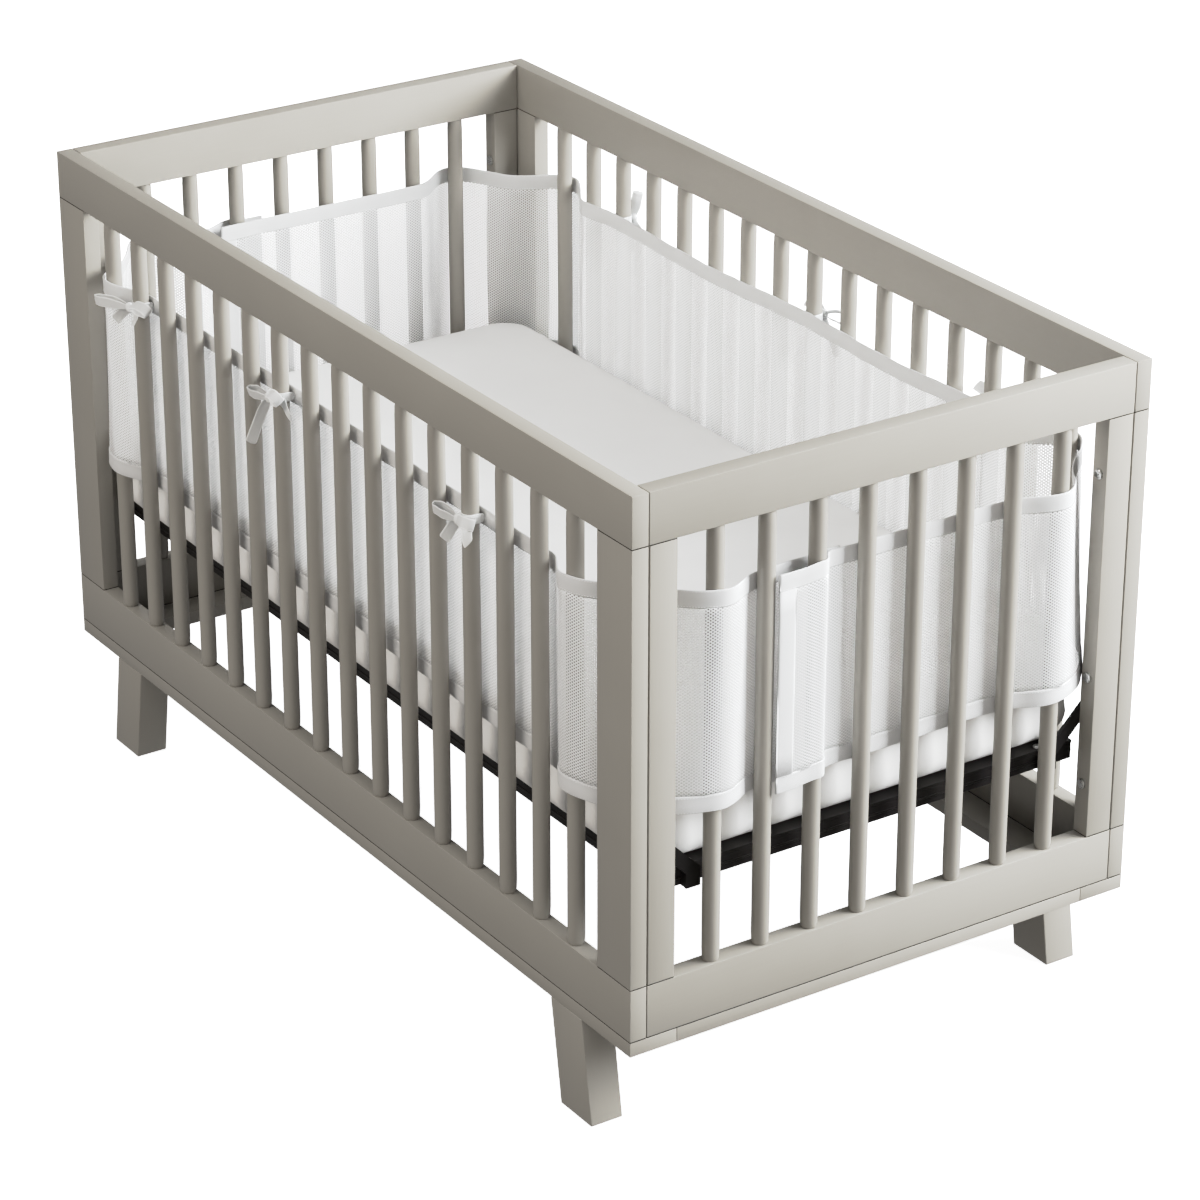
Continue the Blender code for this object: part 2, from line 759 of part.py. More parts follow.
def main():
    clear_scene()
    paint = make_material("grey_paint", PAINT)
    mesh_cloth = make_material("white_mesh", MESH_CLOTH)
    binding_cloth = make_material("white_binding", BINDING_CLOTH)
    ribbon = make_material("white_ribbon", RIBBON_CLOTH)
    sheet = make_material("white_sheet", SHEET_CLOTH)
    steel = make_material("black_steel", BLACK_STEEL)

    build_crib(paint)
    build_support(steel)
    build_mattress(sheet)
    build_panel("liner_front", FRONT_ROUTE, mesh_cloth, binding_cloth)
    build_panel("liner_back", BACK_ROUTE, mesh_cloth, binding_cloth)
    for side, slats, bows in (
        ("front", TIE_SLATS_FRONT, FRONT_BOWS),
        ("back", TIE_SLATS_BACK, BACK_BOWS),
    ):
        for number, (slat, shape) in enumerate(zip(slats, bows), start=1):
            build_tie("tie_" + side + "_" + str(number), side, slat, shape, ribbon)


main()
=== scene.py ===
"""The looks of a mesh crib liner, woven round the slats of its crib and tied with ribbon bows.

Everything is in metres, +Z up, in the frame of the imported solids: the crib's length runs along X,
the foot end is +X, the front long side is -Y and the feet stand on z = 0.
"""

import logging
import math
from dataclasses import dataclass, field
from enum import Enum
from typing import Callable, Sequence

import bmesh
import bpy
from mathutils import Matrix, Vector


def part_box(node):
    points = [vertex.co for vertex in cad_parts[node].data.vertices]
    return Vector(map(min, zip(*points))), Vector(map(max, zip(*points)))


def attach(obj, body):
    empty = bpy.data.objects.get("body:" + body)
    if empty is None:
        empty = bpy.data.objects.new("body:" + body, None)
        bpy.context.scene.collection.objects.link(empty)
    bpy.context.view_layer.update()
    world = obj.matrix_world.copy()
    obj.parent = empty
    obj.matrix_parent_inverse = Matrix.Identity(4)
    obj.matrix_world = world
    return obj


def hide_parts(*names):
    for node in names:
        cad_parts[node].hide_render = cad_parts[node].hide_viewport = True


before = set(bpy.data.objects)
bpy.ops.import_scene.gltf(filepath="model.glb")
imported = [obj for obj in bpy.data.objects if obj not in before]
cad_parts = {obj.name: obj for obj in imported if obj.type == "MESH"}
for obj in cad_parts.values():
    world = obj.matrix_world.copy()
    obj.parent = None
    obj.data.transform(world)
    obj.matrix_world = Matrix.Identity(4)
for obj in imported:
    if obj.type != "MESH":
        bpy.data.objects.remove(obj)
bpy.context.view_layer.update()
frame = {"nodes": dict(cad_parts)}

BODY = "root"
CLOTH_UV = "cloth"
LOG = logging.getLogger("crib_liner")
Colour = tuple[float, float, float]
Point = tuple[float, float, float]


# ------------------------------------------------------------------ shader maths
class Signal:
    """A shader socket that Python expressions can go on from."""

    def __init__(self, recipe: "Recipe", socket: bpy.types.NodeSocket) -> None:
        """Wraps a socket.

        Args:
            recipe: the material that the socket belongs to.
            socket: an output socket.
        """
        self.recipe = recipe
        self.socket = socket

    def math(self, operation: str, *others: "Signal | float", swap: bool = False) -> "Signal":
        """Adds a Math node behind this socket.

        Args:
            operation: the Math node's operation.
            others: its further values.
            swap: puts this socket second.

        Returns:
            The node's result.
        """
        values = [self, *others]
        if swap:
            values.reverse()
        inputs = dict(enumerate(values))
        return self.recipe.signal("ShaderNodeMath", {"operation": operation}, inputs)

    def __add__(self, other: "Signal | float") -> "Signal":
        """Sum."""
        return self.math("ADD", other)

    def __sub__(self, other: "Signal | float") -> "Signal":
        """Difference."""
        return self.math("SUBTRACT", other)

    def __rsub__(self, other: float) -> "Signal":
        """Difference from a number."""
        return self.math("SUBTRACT", other, swap=True)

    def __mul__(self, other: "Signal | float") -> "Signal":
        """Product."""
        return self.math("MULTIPLY", other)

    def __truediv__(self, other: "Signal | float") -> "Signal":
        """Quotient."""
        return self.math("DIVIDE", other)

    def __rtruediv__(self, other: float) -> "Signal":
        """Quotient of a number."""
        return self.math("DIVIDE", other, swap=True)

    __radd__ = __add__
    __rmul__ = __mul__

    def fract(self) -> "Signal":
        """What is left past the last whole number."""
        return self.math("FRACT")

    def size(self) -> "Signal":
        """Absolute value."""
        return self.math("ABSOLUTE")

    def wave(self) -> "Signal":
        """Sine of the value in radians."""
        return self.math("SINE")

    def step(self, low: float, high: float, to_low: float = 0.0, to_high: float = 1.0) -> "Signal":
        """A smooth rise between two values.

        Args:
            low: where the rise starts.
            high: where it ends.
            to_low: the result up to low.
            to_high: the result from high on.

        Returns:
            The eased value.
        """
        inputs = {"Value": self, "From Min": low, "From Max": high, "To Min": to_low, "To Max": to_high}
        return self.recipe.signal("ShaderNodeMapRange", {"interpolation_type": "SMOOTHSTEP"}, inputs)


class Recipe:
    """One Principled material, with the nodes that vary it over a surface."""

    def __init__(self, name: str, colour: Colour, roughness: float, **constants: float) -> None:
        """Starts a material.

        Args:
            name: the material's name.
            colour: linear base colour.
            roughness: roughness all over.
            constants: further Principled sockets, with _ for a space in their names.
        """
        self.material = bpy.data.materials.new(name)
        self.material.use_nodes = True
        self.tree = self.material.node_tree
        self.shader = self.tree.nodes["Principled BSDF"]
        self.shader.inputs["Base Color"].default_value = (*colour, 1.0)
        self.shader.inputs["Roughness"].default_value = roughness
        for key, value in constants.items():
            self.shader.inputs[key.replace("_", " ")].default_value = value

    def node(self, kind: str, settings: dict, inputs: dict) -> bpy.types.Node:
        """Adds a node.

        Args:
            kind: the node's type.
            settings: its properties, which are set first.
            inputs: values, signals or sockets for its inputs, by name or place.

        Returns:
            The new node.
        """
        made = self.tree.nodes.new(kind)
        for key, value in settings.items():
            setattr(made, key, value)
        for key, value in inputs.items():
            source = value.socket if isinstance(value, Signal) else value
            if isinstance(source, bpy.types.NodeSocket):
                self.tree.links.new(source, made.inputs[key])
            else:
                made.inputs[key].default_value = source
        return made

    def signal(self, kind: str, settings: dict, inputs: dict, output: int | str = 0) -> Signal:
        """Adds a node and wraps one of its outputs."""
        return Signal(self, self.node(kind, settings, inputs).outputs[output])

    def place(self, stretch: Point = (1.0, 1.0, 1.0)) -> bpy.types.NodeSocket:
        """Object coordinates, stretched.

        Args:
            stretch: factors along X, Y and Z.

        Returns:
            The coordinates' socket.
        """
        where = self.node("ShaderNodeTexCoord", {}, {}).outputs["Object"]
        return self.node("ShaderNodeMapping", {}, {"Vector": where, "Scale": stretch}).outputs[0]

    def cloth_place(self) -> tuple[Signal, Signal]:
        """How far along and across its cloth a point lies, in metres, from the cloth's own UV map."""
        where = self.node("ShaderNodeUVMap", {"uv_map": CLOTH_UV}, {}).outputs[0]
        split = self.node("ShaderNodeSeparateXYZ", {}, {0: where})
        return Signal(self, split.outputs[0]), Signal(self, split.outputs[1])

    def noise(self, where: bpy.types.NodeSocket, scale: float, detail: float = 2.0) -> Signal:
        """Noise from 0 to 1 at a point."""
        inputs = {"Vector": where, "Scale": scale, "Detail": detail}
        return self.signal("ShaderNodeTexNoise", {}, inputs, "Fac")

    def blend(self, factor: Signal, low: Colour, high: Colour) -> bpy.types.NodeSocket:
        """A colour between two, by a factor from 0 to 1."""
        settings = {"data_type": "RGBA"}
        inputs = {0: factor, 6: (*low, 1.0), 7: (*high, 1.0)}
        return self.node("ShaderNodeMix", settings, inputs).outputs[2]

    def feed(self, name: str, source: "Signal | bpy.types.NodeSocket") -> None:
        """Links a signal or socket to one of the shader's own sockets."""
        socket = source.socket if isinstance(source, Signal) else source
        self.tree.links.new(socket, self.shader.inputs[name])

    def raise_surface(self, height: Signal, depth: float, strength: float = 1.0) -> None:
        """Feeds a relief to the shader's normal.

        Args:
            height: the relief, from 0 to 1.
            depth: how deep it is, in metres.
            strength: how much of it shows.
        """
        inputs = {"Height": height, "Distance": depth, "Strength": strength}
        self.feed("Normal", self.node("ShaderNodeBump", {}, inputs).outputs[0])


# ------------------------------------------------------------------ finishes
class Grain(Enum):
    """Which way the wood of a painted member runs."""

    ALONG_X = (0.05, 1.0, 1.0)
    ALONG_Y = (1.0, 0.05, 1.0)
    ALONG_Z = (1.0, 1.0, 0.05)


@dataclass(frozen=True)
class PaintFinish:
    """Satin grey paint over wood."""

    light: Colour = (0.292, 0.275, 0.244)
    dark: Colour = (0.270, 0.253, 0.223)
    roughness: float = 0.36
    coat: float = 0.12
    cloud_scale: float = 5.0
    grain_scale: float = 260.0
    skin_scale: float = 900.0
    grain_depth: float = 0.00006

    def make(self, grain: Grain) -> bpy.types.Material:
        """Builds the paint.

        Args:
            grain: the way the wood below it runs.

        Returns:
            The material.
        """
        name = "satin_paint_" + grain.name.lower()
        paint = Recipe(name, self.light, self.roughness, Coat_Weight=self.coat)
        cloud = paint.noise(paint.place(), self.cloud_scale, 3.0)
        fibre = paint.noise(paint.place(grain.value), self.grain_scale, 4.0)
        skin = paint.noise(paint.place(), self.skin_scale)
        tint = cloud.step(0.3, 0.7) * 0.6 + fibre * 0.4
        paint.feed("Base Color", paint.blend(tint, self.dark, self.light))
        polish = cloud.step(0.25, 0.75, self.roughness - 0.05, self.roughness + 0.07)
        paint.feed("Roughness", polish + skin * 0.04)
        paint.raise_surface(fibre.step(0.35, 0.8) * 0.7 + skin * 0.3, self.grain_depth, 0.5)
        return paint.material


@dataclass(frozen=True)
class JointShadeFinish:
    """Painted shade in the joints: a near-black finish on the boards that fill the open gaps, standing in for
    the shadow inside them.
    """

    # The near-black colours paint the shade that falls into the open joints; the noise only varies it at
    # random.
    colour: Colour = (0.030, 0.026, 0.021)
    deep: Colour = (0.018, 0.015, 0.012)
    cloud_scale: float = 120.0

    def make(self) -> bpy.types.Material:
        """Builds the painted joint shade."""
        joint_shade = Recipe("painted_joint_shade", self.colour, 0.9, Specular_IOR_Level=0.1)
        cloud = joint_shade.noise(joint_shade.place(), self.cloud_scale, 3.0)
        joint_shade.feed("Base Color", joint_shade.blend(cloud.step(0.3, 0.7), self.deep, self.colour))
        joint_shade.raise_surface(cloud, 0.0001, 0.4)
        return joint_shade.material


@dataclass(frozen=True)
class SteelFinish:
    """Black powder coat on the mattress support."""

    colour: Colour = (0.007, 0.006, 0.006)
    worn: Colour = (0.010, 0.009, 0.008)
    roughness: float = 0.30
    cloud_scale: float = 14.0
    grit_scale: float = 1400.0

    def make(self) -> bpy.types.Material:
        """Builds the powder coat."""
        steel = Recipe("black_powder_coat", self.colour, self.roughness, Specular_IOR_Level=0.28)
        cloud = steel.noise(steel.place(), self.cloud_scale, 3.0)
        grit = steel.noise(steel.place(), self.grit_scale)
        steel.feed("Base Color", steel.blend(cloud.step(0.3, 0.7), self.colour, self.worn))
        steel.feed("Roughness", cloud.step(0.2, 0.8, self.roughness - 0.02, self.roughness + 0.04))
        steel.raise_surface(grit, 0.0001, 0.4)
        return steel.material


@dataclass(frozen=True)
class ZincFinish:
    """Bright zinc on screw heads and bolts."""

    colour: Colour = (0.62, 0.62, 0.61)
    dull: Colour = (0.45, 0.45, 0.44)
    cloud_scale: float = 600.0

    def make(self) -> bpy.types.Material:
        """Builds the zinc."""
        zinc = Recipe("bright_zinc", self.colour, 0.3, Metallic=1.0)
        cloud = zinc.noise(zinc.place(), self.cloud_scale, 3.0)
        zinc.feed("Base Color", zinc.blend(cloud, self.dull, self.colour))
        zinc.feed("Roughness", cloud.step(0.3, 0.7, 0.22, 0.42))
        return zinc.material


@dataclass(frozen=True)
class MeshFinish:
    """White warp-knitted mesh: staggered holes between raised yarns, with painted shade that darkens the knit
    towards each hole.
    """

    colour: Colour = (0.92, 0.915, 0.905)
    # rim is painted shade: the colour the knit darkens to at the edge of each hole.
    rim: Colour = (0.56, 0.555, 0.545)
    cell_width: float = 0.0056
    cell_height: float = 0.0040
    hole_radius: float = 0.00090
    tint_scale: float = 9.0

    def make(self) -> bpy.types.Material:
        """Builds the mesh.

        Returns:
            The material, whose alpha is the holes.
        """
        knit = Recipe("white_knit_mesh", self.colour, 0.82, Sheen_Weight=0.1, Subsurface_Weight=0.6)
        knit.shader.inputs["Subsurface Radius"].default_value = (1.0, 1.0, 1.0)
        knit.shader.inputs["Subsurface Scale"].default_value = 0.004
        along, across = knit.cloth_place()
        # Each row of holes is shifted by half a cell against the rows beside it.
        row = across / (self.cell_height * 0.5)
        odd = (row * 0.5).fract().math("GREATER_THAN", 0.5)
        x = ((along / self.cell_width + odd * 0.5).fract() - 0.5) * (self.cell_width / self.hole_radius)
        y = (row.fract() - 0.5) * (self.cell_height * 0.5 / self.hole_radius)
        reach = x * x + y * y
        cloth = reach.step(0.7, 1.3)
        yarn_relief_and_shade = reach.step(0.9, 2.5)
        tint = knit.noise(knit.place(), self.tint_scale)
        # The base colour darkens towards rim at each hole's edge, which paints shade round the holes; tint
        # adds a random tone.
        knit.feed("Base Color", knit.blend(yarn_relief_and_shade * 0.8 + tint * 0.2, self.rim, self.colour))
        knit.feed("Alpha", cloth)
        knit.raise_surface(yarn_relief_and_shade, 0.0006, 0.6)
        return knit.material


@dataclass(frozen=True)
class TapeFinish:
    """Folded cotton binding: a fine plain weave."""

    name: str = "white_binding_tape"
    colour: Colour = (0.64, 0.637, 0.63)
    rib: float = 0.0009
    sheen: float = 0.15
    roughness: float = 0.85

    def make(self) -> bpy.types.Material:
        """Builds the tape."""
        tape = Recipe(self.name, self.colour, self.roughness, Sheen_Weight=self.sheen)
        along, across = tape.cloth_place()
        turn = 2.0 * math.pi / self.rib
        weave = (along * turn).wave() * (across * turn).wave() * 0.5 + 0.5
        cloud = tape.noise(tape.place(), 40.0, 3.0)
        fuzz = tape.noise(tape.place(), 1200.0)
        low = tuple(0.90 * c for c in self.colour)
        tape.feed("Base Color", tape.blend(cloud * 0.5 + weave * 0.3 + fuzz * 0.2, low, self.colour))
        rough = min(1.0, self.roughness + 0.08)
        tape.feed("Roughness", cloud.step(0.2, 0.8, self.roughness - 0.06, rough))
        tape.raise_surface(weave * 0.7 + fuzz * 0.3, 0.00025, 0.6)
        return tape.material


@dataclass(frozen=True)
class RibbonFinish:
    """Thin white ribbon: sheer between two denser edges."""

    colour: Colour = (0.86, 0.86, 0.85)
    low: Colour = (0.78, 0.785, 0.775)
    edge: float = 0.0060
    sheer: float = 0.86
    threads: float = 5200.0

    def make(self) -> bpy.types.Material:
        """Builds the ribbon.

        Returns:
            The material, whose alpha is a little lower between the edges.
        """
        ribbon = Recipe("white_sheer_ribbon", self.colour, 0.62, Sheen_Weight=0.3)
        along, across = ribbon.cloth_place()
        rim = across.size().step(self.edge - 0.0004, self.edge)
        threads = (along * self.threads).wave() * 0.5 + 0.5
        crush = ribbon.noise(ribbon.place((1.0, 1.0, 0.6)), 210.0, 4.0)
        ribbon.feed("Base Color", ribbon.blend(rim * 0.6 + threads * 0.4, self.low, self.colour))
        ribbon.feed("Alpha", rim.step(0.0, 1.0, self.sheer, 1.0))
        ribbon.raise_surface(crush * 0.8 + threads * 0.2, 0.0016, 0.8)
        return ribbon.material


@dataclass(frozen=True)
class FittedSheetFinish:
    """White percale of the mattress's fitted sheet."""

    colour: Colour = (0.80, 0.79, 0.77)
    low: Colour = (0.77, 0.76, 0.74)
    thread_scale: float = 1500.0

    def make(self) -> bpy.types.Material:
        """Builds the percale."""
        percale = Recipe("white_percale", self.colour, 0.88, Sheen_Weight=0.12)
        cloud = percale.noise(percale.place(), 6.0, 4.0)
        thread = percale.noise(percale.place((1.0, 0.08, 0.3)), self.thread_scale)
        cross = percale.noise(percale.place((0.08, 1.0, 0.3)), self.thread_scale)
        rumple = percale.noise(percale.place((1.0, 1.6, 1.0)), 13.0, 4.0)
        percale.feed("Base Color", percale.blend(cloud.step(0.3, 0.7), self.low, self.colour))
        percale.raise_surface(rumple * 0.75 + thread * 0.12 + cross * 0.12, 0.003, 0.45)
        return percale.material


@dataclass(frozen=True)
class FloorFinish:
    """Pale studio floor."""

    colour: Colour = (0.80, 0.80, 0.80)
    glow: float = 1.9

    def make(self) -> bpy.types.Material:
        """Builds the floor's paint."""
        sockets = {"Specular_IOR_Level": 0.1, "Emission_Strength": self.glow}
        floor = Recipe("studio_floor", self.colour, 0.9, **sockets)
        floor.shader.inputs["Emission Color"].default_value = (1.0, 1.0, 1.0, 1.0)
        cloud = floor.noise(floor.place(), 0.7)
        floor.feed("Roughness", cloud.step(0.2, 0.8, 0.85, 0.95))
        return floor.material


# ------------------------------------------------------------------ modelling tools
class Workbench:
    """Modelling by operators, one primitive at a time."""

    @staticmethod
    def start(things: Sequence[bpy.types.Object] = ()) -> None:
        """Deselects everything, then selects these objects and makes the first one active."""
        bpy.ops.object.select_all(action="DESELECT")
        for thing in things:
            thing.select_set(True)
        if things:
            bpy.context.view_layer.objects.active = things[0]

    @classmethod
    def settle(cls, thing: bpy.types.Object, name: str, angle: float = 40.0) -> bpy.types.Object:
        """Puts an object's place into its mesh, smooths its round faces and names it.

        Args:
            thing: the object.
            name: its name and its mesh's.
            angle: edges sharper than this stay sharp, in degrees.

        Returns:
            The object.
        """
        cls.start([thing])
        bpy.ops.object.transform_apply(location=True, rotation=True, scale=True)
        bpy.ops.object.shade_smooth_by_angle(angle=math.radians(angle))
        thing.name = thing.data.name = name
        return thing

    @classmethod
    def board(cls, name: str, low: Point, high: Point, edge: float = 0.0006) -> bpy.types.Object:
        """A board with eased edges.

        Args:
            name: its name.
            low: its lowest corner.
            high: its highest corner.
            edge: radius of its edges.

        Returns:
            The board.
        """
        middle = [(a + b) / 2 for a, b in zip(low, high)]
        size = [b - a for a, b in zip(low, high)]
        cls.start()
        bpy.ops.mesh.primitive_cube_add(size=1.0, location=middle)
        thing = bpy.context.object
        bpy.ops.object.mode_set(mode="EDIT")
        bpy.ops.transform.resize(value=size, center_override=middle)
        bpy.ops.mesh.bevel(offset=edge, segments=3, affect="EDGES")
        bpy.ops.object.mode_set(mode="OBJECT")
        return cls.settle(thing, name)

    @classmethod
    def dowel(
        cls, name: str, foot: Point, height: float, radius: float, edge: float, taper: float
    ) -> bpy.types.Object:
        """An upright round bar that narrows a little towards its two rounded ends.

        Args:
            name: its name.
            foot: the middle of its lower end.
            height: its height.
            radius: its radius.
            edge: radius of its ends' edges.
            taper: how far from each end it starts to narrow.

        Returns:
            The bar.
        """
        middle = (foot[0], foot[1], foot[2] + height / 2)
        cls.start()
        bpy.ops.mesh.primitive_cylinder_add(vertices=32, radius=radius, depth=height, location=middle)
        thing = bpy.context.object
        bpy.ops.object.mode_set(mode="EDIT")
        head = foot[2] + height
        for z in (foot[2] + taper, foot[2] + taper / 3, head - taper, head - taper / 3):
            bpy.ops.mesh.select_all(action="SELECT")
            bpy.ops.mesh.bisect(plane_co=(foot[0], foot[1], z), plane_no=(0.0, 0.0, 1.0))
        for share, scale in ((1 / 3, 0.96), (0.0, 0.86)):
            for z in (foot[2] + taper * share, foot[2] + height - taper * share):
                cls.pick(thing, lambda co, level=z: abs(co.z - level) < 1e-5)
                centre = (foot[0], foot[1], z)
                bpy.ops.transform.resize(value=(scale, scale, 1.0), center_override=centre)
        reach = height / 2 - 1e-5
        cls.pick(thing, lambda co: abs(co.z - middle[2]) > reach)
        bpy.ops.mesh.bevel(offset=edge, segments=3, affect="EDGES")
        bpy.ops.object.mode_set(mode="OBJECT")
        return cls.settle(thing, name, 50.0)

    @classmethod
    def copy_to(cls, thing: bpy.types.Object, shift: Sequence[float]) -> bpy.types.Object:
        """A copy of an object with its own mesh, moved.

        Args:
            thing: what is copied.
            shift: how far the copy moves.

        Returns:
            The copy.
        """
        cls.start([thing])
        bpy.ops.object.duplicate(linked=False)
        twin = bpy.context.object
        bpy.ops.transform.translate(value=shift)
        bpy.ops.object.transform_apply(location=True, rotation=False, scale=False)
        return twin

    @classmethod
    def join(cls, name: str, things: Sequence[bpy.types.Object]) -> bpy.types.Object:
        """Joins objects into one, with the first one's material and name settled."""
        cls.start(things)
        if len(things) > 1:
            bpy.ops.object.join()
        joined = bpy.context.view_layer.objects.active
        joined.name = joined.data.name = name
        return joined

    @staticmethod
    def pick(thing: bpy.types.Object, test: Callable[[Vector], bool]) -> None:
        """Selects, in edit mode, the vertices whose place in the world passes a test."""
        bpy.ops.mesh.select_mode(type="VERT")
        bpy.ops.mesh.select_all(action="DESELECT")
        body = bmesh.from_edit_mesh(thing.data)
        for vert in body.verts:
            vert.select_set(test(thing.matrix_world @ vert.co))
        body.select_flush_mode()
        bmesh.update_edit_mesh(thing.data)

    @staticmethod
    def pick_faces(thing: bpy.types.Object, test: Callable[[bmesh.types.BMFace], bool]) -> None:
        """Selects, in edit mode, only the faces that pass a test."""
        bpy.ops.mesh.select_all(action="DESELECT")
        body = bmesh.from_edit_mesh(thing.data)
        for face in body.faces:
            face.select_set(test(face))
        bmesh.update_edit_mesh(thing.data)

    @staticmethod
    def cloth(name: str, bm: bmesh.types.BMesh) -> bpy.types.Object:
        """Makes a smooth object of a finished cloth mesh.

        Args:
            name: its name.
            bm: the mesh, which is freed.

        Returns:
            The object.
        """
        bmesh.ops.recalc_face_normals(bm, faces=bm.faces)
        mesh = bpy.data.meshes.new(name)
        bm.to_mesh(mesh)
        bm.free()
        mesh.shade_smooth()
        thing = bpy.data.objects.new(name, mesh)
        bpy.context.scene.collection.objects.link(thing)
        return thing


def dress(
    thing: bpy.types.Object, material: bpy.types.Material, slot: str, *nodes: str
) -> bpy.types.Object:
    """Gives a piece its material and its place in the frame.

    Args:
        thing: the piece.
        material: its finish.
        slot: the record's material slot; not used.
        nodes: the solids that it stands for.

    Returns:
        The piece.
    """
    thing.data.materials.clear()
    thing.data.materials.append(material)
    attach(thing, BODY)
    if nodes:
        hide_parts(*nodes)
    LOG.info("%s: %d faces", thing.name, len(thing.data.polygons))
    return thing


# ------------------------------------------------------------------ the crib
class Side(Enum):
    """The crib's sides, each with its outward direction, and the corners between them."""

    FRONT = (0.0, -1.0)
    BACK = (0.0, 1.0)
    FOOT = (1.0, 0.0)
    HEAD = (-1.0, 0.0)
    CORNER = (0.0, 0.0)

    @property
    def long(self) -> bool:
        """Whether this is a long side."""
        return self in (Side.FRONT, Side.BACK)


@dataclass
class Crib:
    """The painted wooden crib: four glued sides, a base of planks and four leaning legs.

    The rows of screw_steps say how far each ring of a screw head is inset and how far it is sunk.
    """

    half_length: float = 0.695
    half_width: float = 0.371
    top: float = 0.853
    leg_height: float = 0.1385
    leg_edge: float = 0.0015
    base_thickness: float = 0.019
    top_rail: float = 0.064
    bottom_rail: float = 0.069
    side_thickness: float = 0.0225
    end_thickness: float = 0.025
    side_stile: float = 0.070
    end_stile: float = 0.037
    slat_radius: float = 0.01075
    slat_tip: float = 0.0026
    slat_taper: float = 0.016
    joint: float = 0.0010
    joint_depth: float = 0.0002
    joint_lap: float = 0.0008
    end_gap: float = 0.0021
    rail_gap: float = 0.0012
    screw_place: float = 0.682
    screw_heights: tuple[float, ...] = (0.714, 0.4435, 0.298)
    screw_radius: float = 0.0066
    screw_depth: float = 0.0032
    screw_steps: tuple[tuple[float, float], ...] = (
        (0.0008, -0.0006),
        (0.0011, -0.0004),
        (0.0016, 0.0),
        (0.0001, 0.0024),
    )
    counts: dict[bool, int] = field(default_factory=lambda: {True: 16, False: 8})
    pitches: dict[bool, float] = field(default_factory=lambda: {True: 0.0752, False: 0.0713})

    @property
    def floor_of_sides(self) -> float:
        """Height of the base planks' upper face."""
        return self.leg_height + self.base_thickness + self.joint

    def axis(self, side: Side) -> float:
        """How far from the middle the slats of a side stand."""
        if side.long:
            return self.half_width - self.side_thickness / 2
        return self.half_length - self.end_thickness / 2

    def slat_place(self, side: Side, number: int) -> float:
        """How far along its side a slat stands, counted from -X or -Y."""
        return (number - (self.counts[side.long] + 1) / 2) * self.pitches[side.long]

    def point(self, side: Side, along: float, out: float) -> Vector:
        """A point in plan, along a side and out from the axis of its slats."""
        outward = Vector(side.value)
        across = Vector((abs(outward.y), abs(outward.x)))
        return outward * (self.axis(side) + out) + across * along

    def member(
        self, name: str, side: Side, span: Sequence[float], depth: float, z: Sequence[float]
    ) -> bpy.types.Object:
        """A board that stands in a side.

        Args:
            name: the board's name.
            side: the side.
            span: its two ends along the side.
            depth: its thickness.
            z: its lower and upper heights.

        Returns:
            The board.
        """
        one = self.point(side, span[0], -depth / 2)
        two = self.point(side, span[1], depth / 2)
        low = (min(one.x, two.x), min(one.y, two.y), z[0])
        high = (max(one.x, two.x), max(one.y, two.y), z[1])
        return Workbench.board(name, low, high)

    def build_joints(
        self,
        side: Side,
        node: str,
        stiles: Sequence[Sequence[float]],
        reach: float,
        joint_shade: bpy.types.Material,
    ) -> None:
        """Fills one side's open joints, a little below their faces, with near-black boards that paint the
        shade inside them.

        Args:
            side: which side.
            node: the solid that the side stands for.
            stiles: the two ends of each stile, along the side.
            reach: half the length of the side's rails.
            joint_shade: the near-black finish that paints the shade in the joints.
        """
        depth = (self.side_thickness if side.long else self.end_thickness) - 2 * self.joint_depth
        lap = self.joint_lap
        low = self.floor_of_sides + self.bottom_rail
        high = self.top - self.top_rail
        fills = []
        for span in stiles:
            inner = (span[0] + self.joint_depth, span[1] - self.joint_depth)
            for z in ((low - lap, low + self.joint + lap), (high - self.joint - lap, high + lap)):
                fills.append(self.member("joint", side, inner, depth, z))
        z = (self.floor_of_sides - self.joint - lap, self.floor_of_sides + lap)
        ends = (-reach + self.joint_depth, reach - self.joint_depth)
        fills.append(self.member("joint", side, ends, depth, z))
        dress(Workbench.join(f"{node}_joints", fills), joint_shade, "grey_paint")

    def build_side(
        self, side: Side, node: str, paints: dict[Grain, bpy.types.Material], joint_shade: bpy.types.Material
    ) -> None:
        """Builds one side: two rails, two stiles and the slats let in between them.

        Args:
            side: which side.
            node: the solid that it stands for.
            paints: the paint for each way of the grain.
            joint_shade: the near-black finish that paints the shade inside the joints.
        """
        depth = self.side_thickness if side.long else self.end_thickness
        inner = self.half_width - self.side_thickness
        half = self.half_length if side.long else inner - self.end_gap
        reach = self.half_length if side.long else inner - self.rail_gap
        stile = self.side_stile if side.long else self.end_stile
        low = self.floor_of_sides + self.bottom_rail
        high = self.top - self.top_rail
        along = Grain.ALONG_X if side.long else Grain.ALONG_Y
        for label, z in (("top", (high, self.top)), ("bottom", (self.floor_of_sides, low))):
            rail = self.member(f"{node}_{label}_rail", side, (-reach, reach), depth, z)
            dress(rail, paints[along], "grey_paint", node)
        stiles = [sorted((sign * half, sign * (half - stile))) for sign in (-1, 1)]
        self.build_joints(side, node, stiles, reach, joint_shade)
        for label, span in zip(("first", "second"), stiles):
            z = (low + self.joint, high - self.joint)
            board = self.member(f"{node}_{label}_stile", side, span, depth, z)
            dress(board, paints[Grain.ALONG_Z], "grey_paint", node)
        first = self.point(side, self.slat_place(side, 1), 0.0)
        foot = (first.x, first.y, low - self.joint)
        tall = high - low + 2 * self.joint
        slat = Workbench.dowel("slat", foot, tall, self.slat_radius, self.slat_tip, self.slat_taper)
        slats = [slat]
        for number in range(2, self.counts[side.long] + 1):
            step = self.point(side, self.slat_place(side, number), 0.0) - first
            slats.append(Workbench.copy_to(slat, (step.x, step.y, 0.0)))
        row = Workbench.join(f"{node}_slats", slats)
        dress(row, paints[Grain.ALONG_Z], "grey_paint", node)

